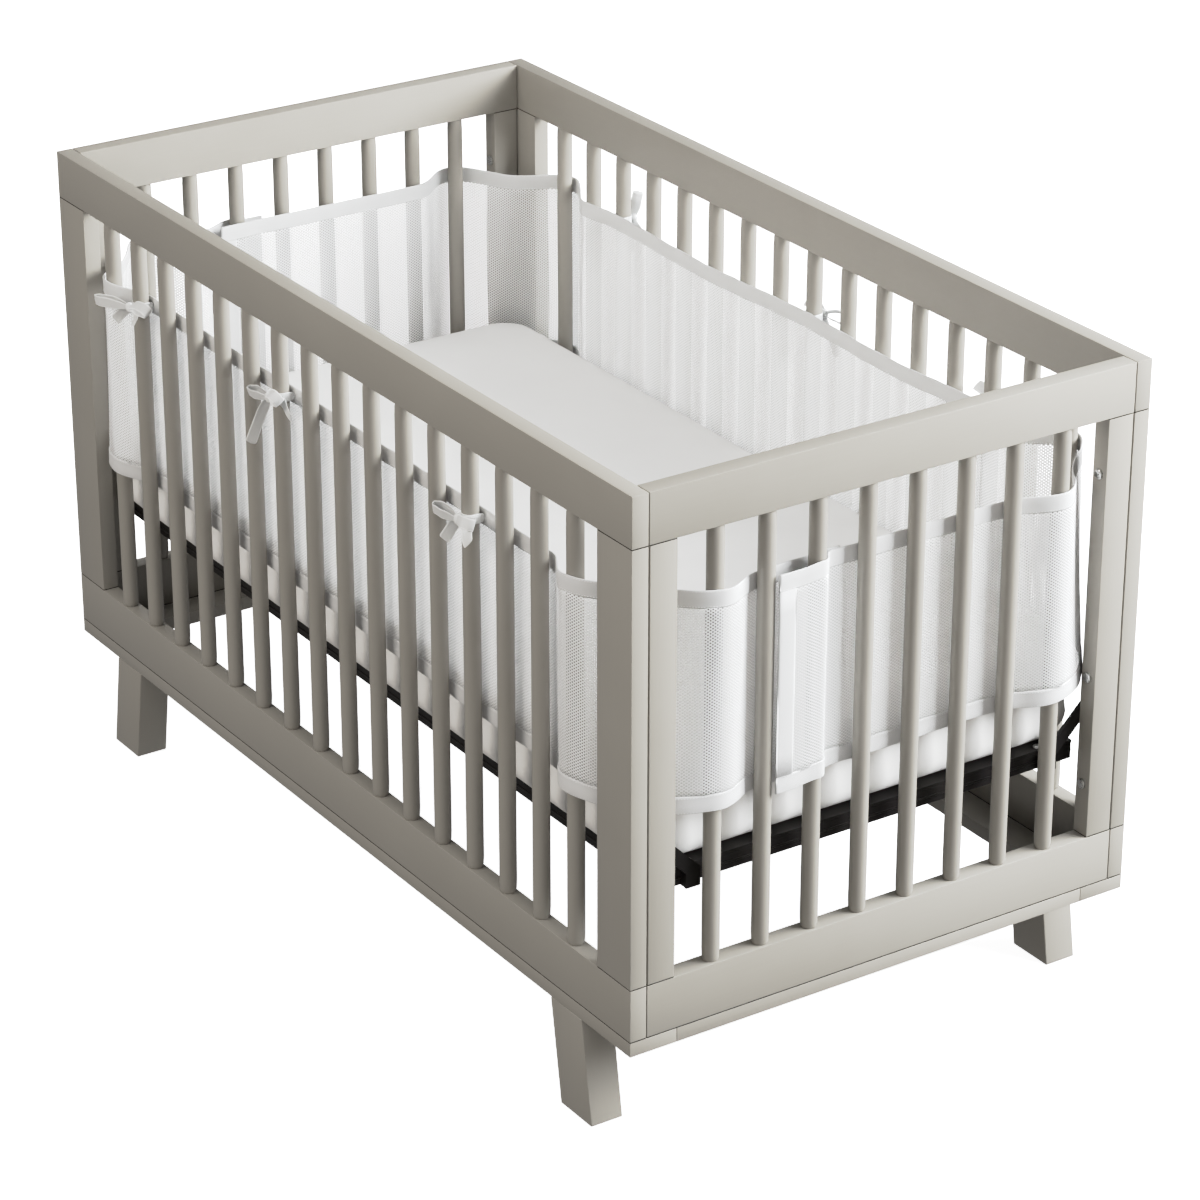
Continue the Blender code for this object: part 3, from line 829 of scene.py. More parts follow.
    def build_base(self, paints: dict[Grain, bpy.types.Material]) -> None:
        """Eases the four planks that the sides stand on."""
        for name in ("base_front_plank", "base_back_plank", "base_foot_plank", "base_head_plank"):
            low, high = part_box(name)
            long = name in ("base_front_plank", "base_back_plank")
            plank = Workbench.board(name + "_eased", low, high)
            dress(plank, paints[Grain.ALONG_X if long else Grain.ALONG_Y], "grey_paint", name)

    def build_legs(self, paint: bpy.types.Material) -> None:
        """Cuts each leg from a block that leans outward along the crib, and eases its edges."""
        for node in ("leg_front_foot", "leg_front_head", "leg_back_foot", "leg_back_head"):
            low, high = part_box(node)
            lean = self.leg_lean(node)
            middle = [(a + b) / 2 for a, b in zip(low, high)]
            width = high.x - low.x - abs(lean)
            Workbench.start()
            bpy.ops.mesh.primitive_cube_add(size=1.0, location=middle)
            leg = bpy.context.object
            bpy.ops.object.mode_set(mode="EDIT")
            size = (width, high.y - low.y, high.z - low.z)
            bpy.ops.transform.resize(value=size, center_override=middle)
            for end in (-1, 1):
                Workbench.pick_faces(leg, lambda face, way=end: way * face.normal.z > 0.9)
                bpy.ops.transform.translate(value=(-end * lean / 2, 0.0, 0.0))
            bpy.ops.mesh.select_all(action="SELECT")
            bpy.ops.mesh.bevel(offset=self.leg_edge, segments=3, affect="EDGES")
            bpy.ops.object.mode_set(mode="OBJECT")
            dress(Workbench.settle(leg, node + "_eased"), paint, "grey_paint", node)

    @staticmethod
    def leg_lean(node: str) -> float:
        """How far a leg's foot stands out from its top along X, read from its solid."""
        points = [v.co for v in frame["nodes"][node].data.vertices]
        foot = max(points, key=lambda p: (-p.z, abs(p.x)))
        head = max(points, key=lambda p: (p.z, abs(p.x)))
        return foot.x - head.x

    def build_screws(self, zinc: bpy.types.Material) -> None:
        """Sets the round screw heads into the inner faces of the end stiles."""
        face = self.half_width - self.side_thickness - self.end_gap - self.end_stile
        made = []
        for sx in (-1, 1):
            for sy in (-1, 1):
                for z in self.screw_heights:
                    made.append(self.screw_head((sx * self.screw_place, sy * face, z), -sy))
        dress(Workbench.join("stile_inserts", made), zinc, "black_steel")

    def screw_head(self, place: Point, toward: int) -> bpy.types.Object:
        """One screw head: low and round, with a sunk socket.

        Args:
            place: the middle of its face on the stile.
            toward: the way it looks along Y, 1 or -1.

        Returns:
            The screw head.
        """
        where = (place[0], place[1] + toward * self.screw_depth / 4, place[2])
        Workbench.start()
        bpy.ops.mesh.primitive_cylinder_add(
            vertices=24,
            radius=self.screw_radius,
            depth=self.screw_depth,
            location=where,
            rotation=(math.pi / 2, 0.0, 0.0),
        )
        thing = bpy.context.object
        bpy.ops.object.mode_set(mode="EDIT")
        for inset, sink in self.screw_steps:
            Workbench.pick_faces(
                thing, lambda face: len(face.verts) == 24 and -toward * face.normal.z > 0.9
            )
            bpy.ops.mesh.inset(thickness=inset)
            bpy.ops.transform.translate(value=(0.0, -toward * sink, 0.0))
        bpy.ops.object.mode_set(mode="OBJECT")
        return Workbench.settle(thing, "screw_head", 50.0)

    def build(self) -> None:
        """Builds the whole crib."""
        finish = PaintFinish()
        paints = {grain: finish.make(grain) for grain in Grain}
        # Near-black boards in the joints paint the shade that falls into them.
        joint_shade = JointShadeFinish().make()
        for side in (Side.FRONT, Side.BACK, Side.FOOT, Side.HEAD):
            node = f"crib_{side.name.lower()}_{'side' if side.long else 'end'}"
            self.build_side(side, node, paints, joint_shade)
        self.build_base(paints)
        self.build_legs(paints[Grain.ALONG_Z])
        self.build_screws(ZincFinish().make())


# ------------------------------------------------------------------ the mattress and its support
@dataclass
class Support:
    """The black steel frame under the mattress."""

    rail_edge: float = 0.0015
    lip_radius: float = 0.0016
    lip_short: float = 0.004
    bolt_radius: float = 0.0058
    bolt_flatness: float = 0.45
    bolt_inset: float = 0.008
    bolt_out: float = 0.262
    bolt_lift: float = 0.0006

    def build(self) -> None:
        """Dresses the deck and the hangers, and makes the rails with their rolled lip."""
        steel = SteelFinish().make()
        zinc = ZincFinish().make()
        nodes = frame["nodes"]
        kept = ["support_deck", *(n for n in nodes if n.startswith("hanger_"))]
        for name in kept:
            nodes[name].data.materials.clear()
            nodes[name].data.materials.append(steel)
        for name in (n for n in sorted(nodes) if n.startswith("support_") and n.endswith("_rail")):
            low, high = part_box(name)
            long = high.x - low.x > high.y - low.y
            rail = Workbench.board(name + "_eased", low, high, self.rail_edge)
            lip = self.lip(low, high, long)
            dress(Workbench.join(name + "_eased", [rail, lip]), steel, "black_steel", name)
        self.build_bolts(zinc)

    def lip(self, low: Vector, high: Vector, long: bool) -> bpy.types.Object:
        """The rolled lip along the middle of a rail's outer face.

        Args:
            low: the rail's lowest corner.
            high: the rail's highest corner.
            long: whether the rail runs along X.

        Returns:
            The lip, a thin round bar.
        """
        z = (low.z + high.z) / 2
        if long:
            outer = high.y if high.y > 0 else low.y
            where, turn, span = (0.0, outer, z), (0.0, math.pi / 2, 0.0), high.x - low.x
        else:
            outer = high.x if high.x > 0 else low.x
            where, turn, span = (outer, 0.0, z), (math.pi / 2, 0.0, 0.0), high.y - low.y
        Workbench.start()
        bpy.ops.mesh.primitive_cylinder_add(
            vertices=12,
            radius=self.lip_radius,
            depth=span - self.lip_short,
            location=where,
            rotation=turn,
        )
        return Workbench.settle(bpy.context.object, "lip")

    def build_bolts(self, zinc: bpy.types.Material) -> None:
        """A round-headed bolt at each corner of the deck, beside the mattress."""
        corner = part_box("support_deck")[1]
        size = (1.0, 1.0, self.bolt_flatness)
        made = []
        for sx in (-1, 1):
            for sy in (-1, 1):
                Workbench.start()
                where = (sx * (corner.x - self.bolt_inset), sy * self.bolt_out, corner.z + self.bolt_lift)
                bpy.ops.mesh.primitive_uv_sphere_add(
                    segments=20, ring_count=10, radius=self.bolt_radius, location=where
                )
                bpy.ops.object.mode_set(mode="EDIT")
                bpy.ops.transform.resize(value=size, center_override=where)
                bpy.ops.object.mode_set(mode="OBJECT")
                made.append(Workbench.settle(bpy.context.object, "bolt"))
        dress(Workbench.join("support_bolts", made), zinc, "black_steel")


@dataclass
class Mattress:
    """The mattress in its fitted sheet: soft edges, drawn-in sides, a low crown and corner folds."""

    corner: float = 0.060
    edge: float = 0.026
    crown: float = 0.005
    crown_reach: float = 0.07
    drawn_in: float = 0.0035
    foot_lift: float = 0.0004
    skin_drop: float = 0.0012
    dent: float = 0.0012
    corner_steps: int = 14
    side_steps: int = 60
    end_steps: int = 34
    edge_steps: int = 6
    fold_height: float = 0.0034
    crown_insets: tuple[float, ...] = (
        0.034, 0.045, 0.060, 0.080, 0.105, 0.135, 0.17, 0.21, 0.25, 0.29, 0.315,
    )

    def profile(self, height: float) -> list[tuple[float, float]]:
        """The side's section: how far in and how high each ring of the skin lies.

        Args:
            height: the mattress's height at its middle.

        Returns:
            Rows of inset and height, from the middle of the underside to the middle of the top.
        """
        edge, side, lift = self.edge, height - self.crown, self.foot_lift
        turns = [math.pi / 2 * step / self.edge_steps for step in range(self.edge_steps + 1)]
        rows = [(0.20, 0.0), (0.06, 0.0), (0.030, lift)]
        rows += [(edge * (1 - math.sin(turn)), edge * (1 - math.cos(turn)) + lift) for turn in turns]
        for share in (0.15, 0.3, 0.45, 0.6, 0.75, 0.9):
            rows.append((self.drawn_in * math.sin(math.pi * share), edge + (side - 2 * edge) * share))
        rows += [(edge * (1 - math.cos(turn)), side - edge + edge * math.sin(turn)) for turn in turns]
        for inset in self.crown_insets:
            rows.append((inset, height - self.crown * math.exp(-(inset - edge) / self.crown_reach)))
        return rows

    def outline(self, half: Vector, inset: float) -> list[tuple[Vector, Vector]]:
        """Points round the mattress and their outward directions.

        Args:
            half: half its length and width.
            inset: how far the outline is drawn in.

        Returns:
            Pairs of point and direction, anticlockwise from the +X side.
        """
        radius = max(self.corner - inset, 0.003)
        reach = Vector((half.x - inset, half.y - inset))
        centre = Vector((reach.x - radius, reach.y - radius))
        points = []
        corners = ((1, 1), (-1, 1), (-1, -1), (1, -1))
        for index, (sx, sy) in enumerate(corners):
            for step in range(self.corner_steps):
                turn = (index + step / self.corner_steps) * math.pi / 2
                away = Vector((math.cos(turn), math.sin(turn)))
                points.append((Vector((sx * centre.x, sy * centre.y)) + away * radius, away))
            away = Vector((math.cos((index + 1) * math.pi / 2), math.sin((index + 1) * math.pi / 2)))
            start = Vector((sx * centre.x, sy * centre.y)) + away * radius
            nx, ny = corners[(index + 1) % 4]
            end = Vector((nx * centre.x, ny * centre.y)) + away * radius
            steps = self.side_steps if abs(start.x - end.x) > abs(start.y - end.y) else self.end_steps
            points.extend((start.lerp(end, step / steps), away) for step in range(steps))
        return points

    def fold(self, spot: Vector, half: Vector, z: float) -> float:
        """How far the sheet stands off at a point of the side.

        Args:
            spot: the point in plan.
            half: half the mattress's length and width.
            z: the point's height.

        Returns:
            The offset: upright folds that fade away from the corners.
        """
        from_corner = min(abs(abs(spot.x) - half.x), 0.4) + min(abs(abs(spot.y) - half.y), 0.4)
        near = math.exp(-((from_corner / 0.11) ** 2))
        along = spot.x * 1.0 + spot.y * 1.3
        pleat = math.sin(along * 128.0 + 2.6 * math.sin(along * 17.0) + z * 14.0)
        slow = math.sin(along * 23.0 + 1.7 * math.sin(along * 7.0) + z * 9.0)
        return self.fold_height * (near * pleat * 0.6 + (0.10 + 0.25 * near) * slow)

    def build(self) -> None:
        """Builds the mattress in the space of its solid."""
        low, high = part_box("mattress")
        half = Vector(((high.x - low.x) / 2, (high.y - low.y) / 2))
        bm = bmesh.new()
        rings = []
        rows = self.profile(high.z - low.z)
        for inset, z in rows:
            ring = []
            side = math.exp(-((inset / 0.02) ** 2))
            for spot, away in self.outline(half, inset):
                dent = self.dent * math.sin(spot.x * 9.0 + 0.7) * math.sin(spot.y * 13.0 + 0.4)
                lift = (dent if z > 0.1 and inset > 0.03 else 0.0) - (self.skin_drop if z > 0.1 else 0.0)
                out = (self.fold(spot, half, z) - self.fold_height) * side
                point = spot + away * out
                ring.append(bm.verts.new((point.x, point.y, low.z + z + lift)))
            rings.append(ring)
        for lower, upper in zip(rings, rings[1:]):
            for i in range(len(lower)):
                j = (i + 1) % len(lower)
                bm.faces.new((lower[i], lower[j], upper[j], upper[i]))
        bm.faces.new(list(reversed(rings[0])))
        bm.faces.new(rings[-1])
        bmesh.ops.triangulate(bm, faces=[f for f in bm.faces if len(f.verts) > 4])
        cloth = Workbench.cloth("mattress_in_sheet", bm)
        dress(cloth, FittedSheetFinish().make(), "white_sheet", "mattress")


# ------------------------------------------------------------------ the liner
class Pass(Enum):
    """Which face of the slats the liner passes on."""

    INSIDE = -1
    OUTSIDE = 1


@dataclass(frozen=True)
class Station:
    """A place on the liner's route: a slat's number, or how far along its side it lies.

    tuck is how much further from the slats it lies than the cloth elsewhere, and sink how much lower
    its top edge hangs, in metres.
    """

    side: Side
    place: int | float
    passing: Pass
    tuck: float = 0.0
    sink: float = 0.0


def run(side: Side, numbers: Sequence[int], passing: Pass) -> list[Station]:
    """Stations at several slats of one side that the liner passes on the same face."""
    return [Station(side, number, passing) for number in numbers]


def corner() -> list[Station]:
    """The station where the liner cuts across a corner."""
    return [Station(Side.CORNER, 0, Pass.OUTSIDE)]


IN, OUT = Pass.INSIDE, Pass.OUTSIDE
FRONT_ROUTE = [
    *(Station(Side.FOOT, along, IN, 0.0055) for along in (-0.0610, -0.0850)),
    Station(Side.FOOT, 3, IN, 0.0030),
    *run(Side.FOOT, (2,), IN),
    *run(Side.FOOT, (1,), OUT),
    *corner(),
    *run(Side.FRONT, (16,), OUT),
    *run(Side.FRONT, range(15, 1, -1), IN),
    *run(Side.FRONT, (1,), OUT),
    *corner(),
    *run(Side.HEAD, (1,), OUT),
    *run(Side.HEAD, (2,), IN),
    Station(Side.HEAD, 3, OUT, 0.0, 0.007),
    *(Station(Side.HEAD, along, OUT, 0.0, 0.009) for along in (-0.0850, -0.0610)),
]
BACK_ROUTE = [
    *(Station(Side.FOOT, along, OUT) for along in (-0.1700, -0.1460)),
    *run(Side.FOOT, (3,), OUT),
    Station(Side.FOOT, -0.0755, IN),
    *run(Side.FOOT, range(4, 8), IN),
    *run(Side.FOOT, (8,), OUT),
    *corner(),
    *run(Side.BACK, (16,), OUT),
    *run(Side.BACK, range(15, 1, -1), IN),
    *run(Side.BACK, (1,), OUT),
    *corner(),
    *run(Side.HEAD, (8,), OUT),
    *run(Side.HEAD, range(7, 2, -1), IN),
    *(Station(Side.HEAD, along, IN) for along in (-0.1160, -0.1400)),
]


@dataclass(frozen=True)
class Column:
    """One upright line of the liner: where it is at a level, its direction and its drop."""

    spot: Vector
    heading: Vector
    drop: float


@dataclass
class LinerRoute:
    """The way that one panel of the liner takes in and out of the slats."""

    crib: Crib
    stations: list[Station]
    tie_slats: tuple[int, ...]
    clockwise: bool
    top: float = 0.706
    height: float = 0.279
    tape_thickness: float = 0.003
    slat_clearance: float = 0.002
    corner_bulge_top: float = 0.000
    corner_bulge_foot: float = 0.023
    billow_top: float = 0.0030
    billow_foot: float = 0.0045
    top_sag: float = 0.004
    outside_lift: float = 0.005

    @property
    def offset(self) -> float:
        """From a slat's axis to the middle of the cloth that passes it."""
        return self.crib.slat_radius + self.slat_clearance + self.tape_thickness / 2

    @property
    def last(self) -> int:
        """The last station's place on the route."""
        return len(self.stations) - 1

    def away(self, heading: Vector) -> Vector:
        """The way out of the crib, square to a heading."""
        outward = Vector((heading.y, -heading.x))
        return -outward if self.clockwise else outward

    def slack(self, station: Station) -> float:
        """0 where a tie pulls the liner to the slats, rising to 1 half way to the next one."""
        if not station.side.long or not isinstance(station.place, int):
            return 0.0
        marks = (0, *self.tie_slats, self.crib.counts[True] + 1)
        for low, high in zip(marks, marks[1:]):
            if low <= station.place <= high:
                return math.sin(math.pi * (station.place - low) / (high - low)) ** 2
        return 0.0

    def point(self, index: int, level: float) -> Vector:
        """Where a station lies in plan, at a level from 0, the top, to 1, the foot."""
        station = self.stations[index]
        if station.side is Side.CORNER:
            middle = (self.point(index - 1, level) + self.point(index + 1, level)) / 2
            away = Vector((math.copysign(1.0, middle.x), math.copysign(1.0, middle.y))).normalized()
            bulge = self.corner_bulge_top + (self.corner_bulge_foot - self.corner_bulge_top) * level
            return middle + away * bulge
        along = station.place
        if isinstance(station.place, int):
            along = self.crib.slat_place(station.side, station.place)
        if station.passing is Pass.OUTSIDE:
            return self.crib.point(station.side, along, self.offset + station.tuck)
        billow = self.billow_top + (self.billow_foot - self.billow_top) * level
        return self.crib.point(station.side, along, -self.offset - station.tuck - self.slack(station) * billow)

    def drop(self, index: int) -> float:
        """How far the top edge lies below its full height at a station."""
        station = self.stations[index]
        if station.side is Side.CORNER:
            return 0.0
        if station.passing is Pass.OUTSIDE:
            return station.sink - self.outside_lift * (1.0 if isinstance(station.place, int) else 0.5)
        return station.sink + self.top_sag * self.slack(station)

    def headings(self, points: list[Vector]) -> list[Vector]:
        """The liner's direction in plan at each station."""
        found = []
        for index, station in enumerate(self.stations):
            low, high = max(index - 1, 0), min(index + 1, self.last)
            heading = (points[high] - points[low]).normalized()
            near = {self.stations[low].side, station.side, self.stations[high].side}
            if len(near) == 1 and station.side is not Side.CORNER:
                along = (math.copysign(1.0, heading.x), 0.0)
                across = (0.0, math.copysign(1.0, heading.y))
                heading = Vector(along if station.side.long else across)
            found.append(heading)
        return found

    def row(self, level: float, places: Sequence[float]) -> list[Column]:
        """The liner's columns at one level.

        Args:
            level: from 0, the top edge, to 1, the lower edge.
            places: places along the route, counted in stations.

        Returns:
            A column for each place.
        """
        points = [self.point(index, level) for index in range(self.last + 1)]
        headings = self.headings(points)
        columns = []
        for place in places:
            index = min(int(place), self.last - 1)
            u = place - index
            start, end = points[index], points[index + 1]
            span = (end - start).length
            lead, tail = headings[index] * span, headings[index + 1] * span
            spot = start * (2 * u**3 - 3 * u**2 + 1) + lead * (u**3 - 2 * u**2 + u)
            spot += end * (3 * u**2 - 2 * u**3) + tail * (u**3 - u**2)
            slope = start * (6 * u**2 - 6 * u) + lead * (3 * u**2 - 4 * u + 1)
            slope += end * (6 * u - 6 * u**2) + tail * (3 * u**2 - 2 * u)
            ease = u * u * (3 - 2 * u)
            drop = self.drop(index) * (1 - ease) + self.drop(index + 1) * ease
            columns.append(Column(spot, slope.normalized(), drop))
        return columns


@dataclass(frozen=True)
class Crease:
    """A soft fold of the liner.

    place and spread are counted in stations, start and end are levels, and height is in metres
    toward the outside of the crib, or toward the mattress where it is negative.
    """

    place: float
    lean: float
    spread: float
    start: float
    end: float
    height: float


FRONT_CREASES = (
    Crease(3.45, 0.10, 0.10, 0.00, 0.60, 0.0015),
    Crease(4.62, 0.08, 0.09, 0.25, 0.98, 0.0013),
    Crease(5.38, -0.10, 0.10, 0.12, 1.05, -0.0017),
    Crease(6.38, 0.14, 0.10, -0.10, 0.72, -0.0014),
    Crease(8.45, 0.10, 0.16, 0.20, 1.05, -0.0016),
    Crease(9.02, 0.03, 0.05, 0.02, 0.34, 0.0011),
    Crease(10.40, -0.16, 0.15, 0.10, 0.90, -0.0019),
    Crease(11.62, 0.12, 0.12, 0.30, 1.05, -0.0013),
    Crease(13.46, -0.06, 0.18, 0.15, 1.00, -0.0018),
    Crease(14.96, -0.04, 0.05, 0.02, 0.30, 0.0012),
    Crease(15.58, 0.20, 0.12, 0.05, 0.80, -0.0014),
    Crease(17.42, -0.10, 0.17, 0.25, 1.05, -0.0017),
    Crease(19.52, 0.08, 0.13, 0.10, 0.85, -0.0015),
    Crease(20.55, -0.12, 0.09, -0.05, 0.65, 0.0013),
    Crease(22.42, 0.06, 0.10, 0.30, 1.05, -0.0014),
    Crease(23.50, -0.10, 0.11, 0.00, 0.70, 0.0013),
    Crease(24.62, 0.08, 0.10, 0.20, 1.00, -0.0015),
)
BACK_CREASES = (
    Crease(1.55, 0.10, 0.14, 0.10, 0.90, 0.0009),
    Crease(3.52, 0.12, 0.10, -0.10, 0.75, -0.0016),
    Crease(5.48, -0.08, 0.14, 0.20, 1.05, -0.0015),
    Crease(6.55, 0.10, 0.12, 0.05, 0.85, -0.0012),
    Crease(7.45, -0.12, 0.12, 0.00, 0.70, -0.0014),
    Crease(8.32, 0.05, 0.18, 0.30, 0.95, -0.0016),
    Crease(9.42, 0.10, 0.10, 0.25, 1.05, -0.0015),
    Crease(10.46, -0.10, 0.09, -0.05, 0.65, 0.0013),
    Crease(12.03, 0.04, 0.05, 0.02, 0.32, 0.0011),
    Crease(12.56, 0.12, 0.16, 0.20, 1.05, -0.0017),
    Crease(14.40, -0.10, 0.15, 0.10, 0.95, -0.0014),
    Crease(15.62, 0.16, 0.13, 0.30, 1.05, -0.0018),
    Crease(17.02, -0.03, 0.05, 0.02, 0.30, 0.0012),
    Crease(18.44, -0.14, 0.18, 0.15, 1.00, -0.0016),
    Crease(20.55, 0.08, 0.14, 0.05, 0.85, -0.0013),
    Crease(22.42, -0.06, 0.16, 0.25, 1.05, -0.0019),
    Crease(23.97, 0.10, 0.11, 0.05, 0.75, -0.0014),
    Crease(25.48, 0.08, 0.09, -0.05, 0.60, 0.0013),
    Crease(26.40, -0.08, 0.11, 0.25, 1.05, -0.0016),
    Crease(27.50, 0.10, 0.10, 0.00, 0.80, 0.0012),
    Crease(29.46, -0.12, 0.16, 0.20, 1.05, -0.0018),
    Crease(31.50, 0.10, 0.14, 0.10, 0.95, -0.0014),
)


# Share of the tape's width from its fold, and share of its half thickness there.
TAPE_SECTION = (
    (0.0, 0.25),
    (0.02, 0.75),
    (0.06, 1.0),
    (0.5, 1.05),
    (0.86, 0.8),
    (0.95, 0.95),
    (1.0, 0.45),
)


@dataclass
class LinerPanel:
    """One panel of the liner: its mesh, the bindings round it and their stitches."""

    name: str
    route: LinerRoute
    creases: tuple[Crease, ...] = ()
    tape_width: float = 0.022
    tape_lap: float = 0.0025
    seam_inset: float = 0.0022
    rim_inset: float = 0.0016
    mesh_start: float = 0.9
    mesh_half: float = 0.0003
    tape_half: float = 0.0012
    columns_per_station: int = 10
    mesh_rows: int = 26
    stitch_pitch: float = 0.0034
    stitch_length: float = 0.0023

    def relief(self, place: float, level: float, along: float) -> float:
        """How far the cloth stands outward from its smooth course.

        Args:
            place: place along the route, in stations.
            level: from 0, the top edge, to 1, the lower edge.
            along: the same place in metres.

        Returns:
            The offset in metres.
        """
        total = 0.0005 * math.sin(along * 61.0 + 1.7 * level) * math.sin(along * 17.0 + 0.4)
        total += 0.0003 * math.sin(along * 143.0 - 2.3 * level + 0.9)
        for crease in self.creases:
            if not crease.start < level < crease.end:
                continue
            share = (level - crease.start) / (crease.end - crease.start)
            middle = crease.place + crease.lean * share
            across = (place - middle) / crease.spread
            total += crease.height * math.sin(math.pi * share) * math.exp(-across * across)
        return total

    @staticmethod
    def hem(along: float, level: float) -> float:
        """How far the cloth hangs below its even course, growing towards the lower edge."""
        wave = math.sin(along * 11.0 + 0.8) * 0.6 + math.sin(along * 29.0 + 2.1) * 0.4
        return 0.0016 * level * wave

    @staticmethod
    def thin_ends(index: int, last: int) -> float:
        """Half the thickness at a band's two sewn edges, all of it between them."""
        return 0.5 if index in (0, last) else 1.0

    def flow(self, places: Sequence[float]) -> list[float]:
        """How far along the cloth each place lies, in metres."""
        columns = self.route.row(0.5, places)
        total, found = 0.0, [0.0]
        for one, two in zip(columns, columns[1:]):
            total += (two.spot - one.spot).length
            found.append(total)
        return found

    def places(self, first: float, last: float) -> list[float]:
        """Evenly spread places along the route."""
        count = max(2, round((last - first) * self.columns_per_station))
        return [first + (last - first) * step / count for step in range(count + 1)]

    def skin(
        self,
        name: str,
        places: Sequence[float],
        section: Sequence[tuple[float, float]],
        edge: Callable[[int, int], float] = lambda *_: 1.0,
    ) -> bpy.types.Object:
        """A closed thin sheet along the route.

        Args:
            name: the piece's name.
            places: its columns, in stations.
            section: rows of depth below the top edge and half thickness, from the top down.
            edge: how much of its thickness a column has.

        Returns:
            The sheet, with its place along and across the cloth as UV.
        """
        flow = self.flow(places)
        route = self.route
        grid: list[tuple[list[Point], list[Point]]] = []
        for depth, half in section:
            level = depth / route.height
            outer, inner = [], []
            for index, column in enumerate(route.row(level, places)):
                away = route.away(column.heading)
                middle = column.spot + away * self.relief(places[index], level, flow[index])
                z = route.top - column.drop - depth - self.hem(flow[index], level)
                thick = half * edge(index, len(places) - 1)
                outer.append((*(middle + away * thick), z))
                inner.append((*(middle - away * thick), z))
            grid.append((outer, inner))
        bm = bmesh.new()
        uv = bm.loops.layers.uv.new(CLOTH_UV)
        rows = [(side, depth) for side in (0, 1) for depth in range(len(section))]
        ordered = [(0, d) for d in range(len(section))] + [(1, d) for d in reversed(range(len(section)))]
        made = {key: [bm.verts.new(p) for p in grid[key[1]][key[0]]] for key in rows}
        for one, two in zip(ordered, ordered[1:] + ordered[:1]):
            for i in range(len(places) - 1):
                face = bm.faces.new((made[one][i], made[one][i + 1], made[two][i + 1], made[two][i]))
                corners = ((i, one), (i + 1, one), (i + 1, two), (i, two))
                for loop, (column, key) in zip(face.loops, corners):
                    loop[uv].uv = (flow[column], section[key[1]][0])
        for end in (0, -1):
            face = bm.faces.new([made[key][end] for key in ordered])
            for loop, key in zip(face.loops, ordered):
                loop[uv].uv = (flow[end], section[key[1]][0])
        bmesh.ops.triangulate(bm, faces=[f for f in bm.faces if len(f.verts) > 4])
        return Workbench.cloth(name, bm)

    def tape_section(self, start: float, fold_first: bool) -> list[tuple[float, float]]:
        """The section of a folded tape: round at its fold, thin at its sewn edge.

        Args:
            start: depth of its upper edge.
            fold_first: whether its fold is its upper edge.

        Returns:
            Rows of depth and half thickness.
        """
        rows = [(share * self.tape_width, self.tape_half * thick) for share, thick in TAPE_SECTION]
        if not fold_first:
            rows = [(self.tape_width - depth, half) for depth, half in reversed(rows)]
        return [(start + depth, half) for depth, half in rows]

    def stitches(self, name: str, seams: Sequence[float]) -> bpy.types.Object:
        """Stitches along the bindings, on both faces of the cloth.

        Args:
            name: the piece's name.
            seams: how deep below the top edge each seam runs.

        Returns:
            The stitches, one mesh.
        """
        bm = bmesh.new()
        route = self.route
        places = self.places(0.0, float(route.last))
        flow = self.flow(places)
        marks = []
        index = 0
        for step in range(int(flow[-1] / self.stitch_pitch)):
            target = (step + 0.5) * self.stitch_pitch
            while flow[index + 1] < target:
                index += 1
            share = (target - flow[index]) / (flow[index + 1] - flow[index])
            marks.append((places[index] + (places[index + 1] - places[index]) * share, target))
        for depth in seams:
            level = depth / route.height
            columns = route.row(level, [place for place, _ in marks])
            for (place, target), column in zip(marks, columns):
                away = route.away(column.heading)
                lift = self.relief(place, level, target)
                z = route.top - column.drop - depth - self.hem(target, level)
                for sign in (1, -1):
                    middle = column.spot + away * (lift + sign * self.tape_half * 0.92)
                    self.stitch(bm, middle, column.heading, away * sign, z)
        return Workbench.cloth(name, bm)

    def stitch(
        self, bm: bmesh.types.BMesh, middle: Vector, heading: Vector, away: Vector, z: float
    ) -> None:
        """Adds one stitch, a small spindle that lies on the cloth.

        Args:
            bm: the mesh that it joins.
            middle: its middle in plan.
            heading: its direction.
            away: the way off the cloth.
            z: its height.
        """
        tips = [middle + heading * (self.stitch_length / 2 * s) - away * 0.0001 for s in (-1, 1)]
        ends = [bm.verts.new((*tip, z)) for tip in tips]
        crown = bm.verts.new((*(middle + away * 0.00035), z))
        sole = bm.verts.new((*(middle - away * 0.0003), z))
        sides = [bm.verts.new((*middle, z + s * 0.00035)) for s in (-1, 1)]
        ring = (crown, sides[0], sole, sides[1])
        for one, two in zip(ring, ring[1:] + ring[:1]):
            bm.faces.new((ends[0], one, two))
            bm.faces.new((ends[1], two, one))

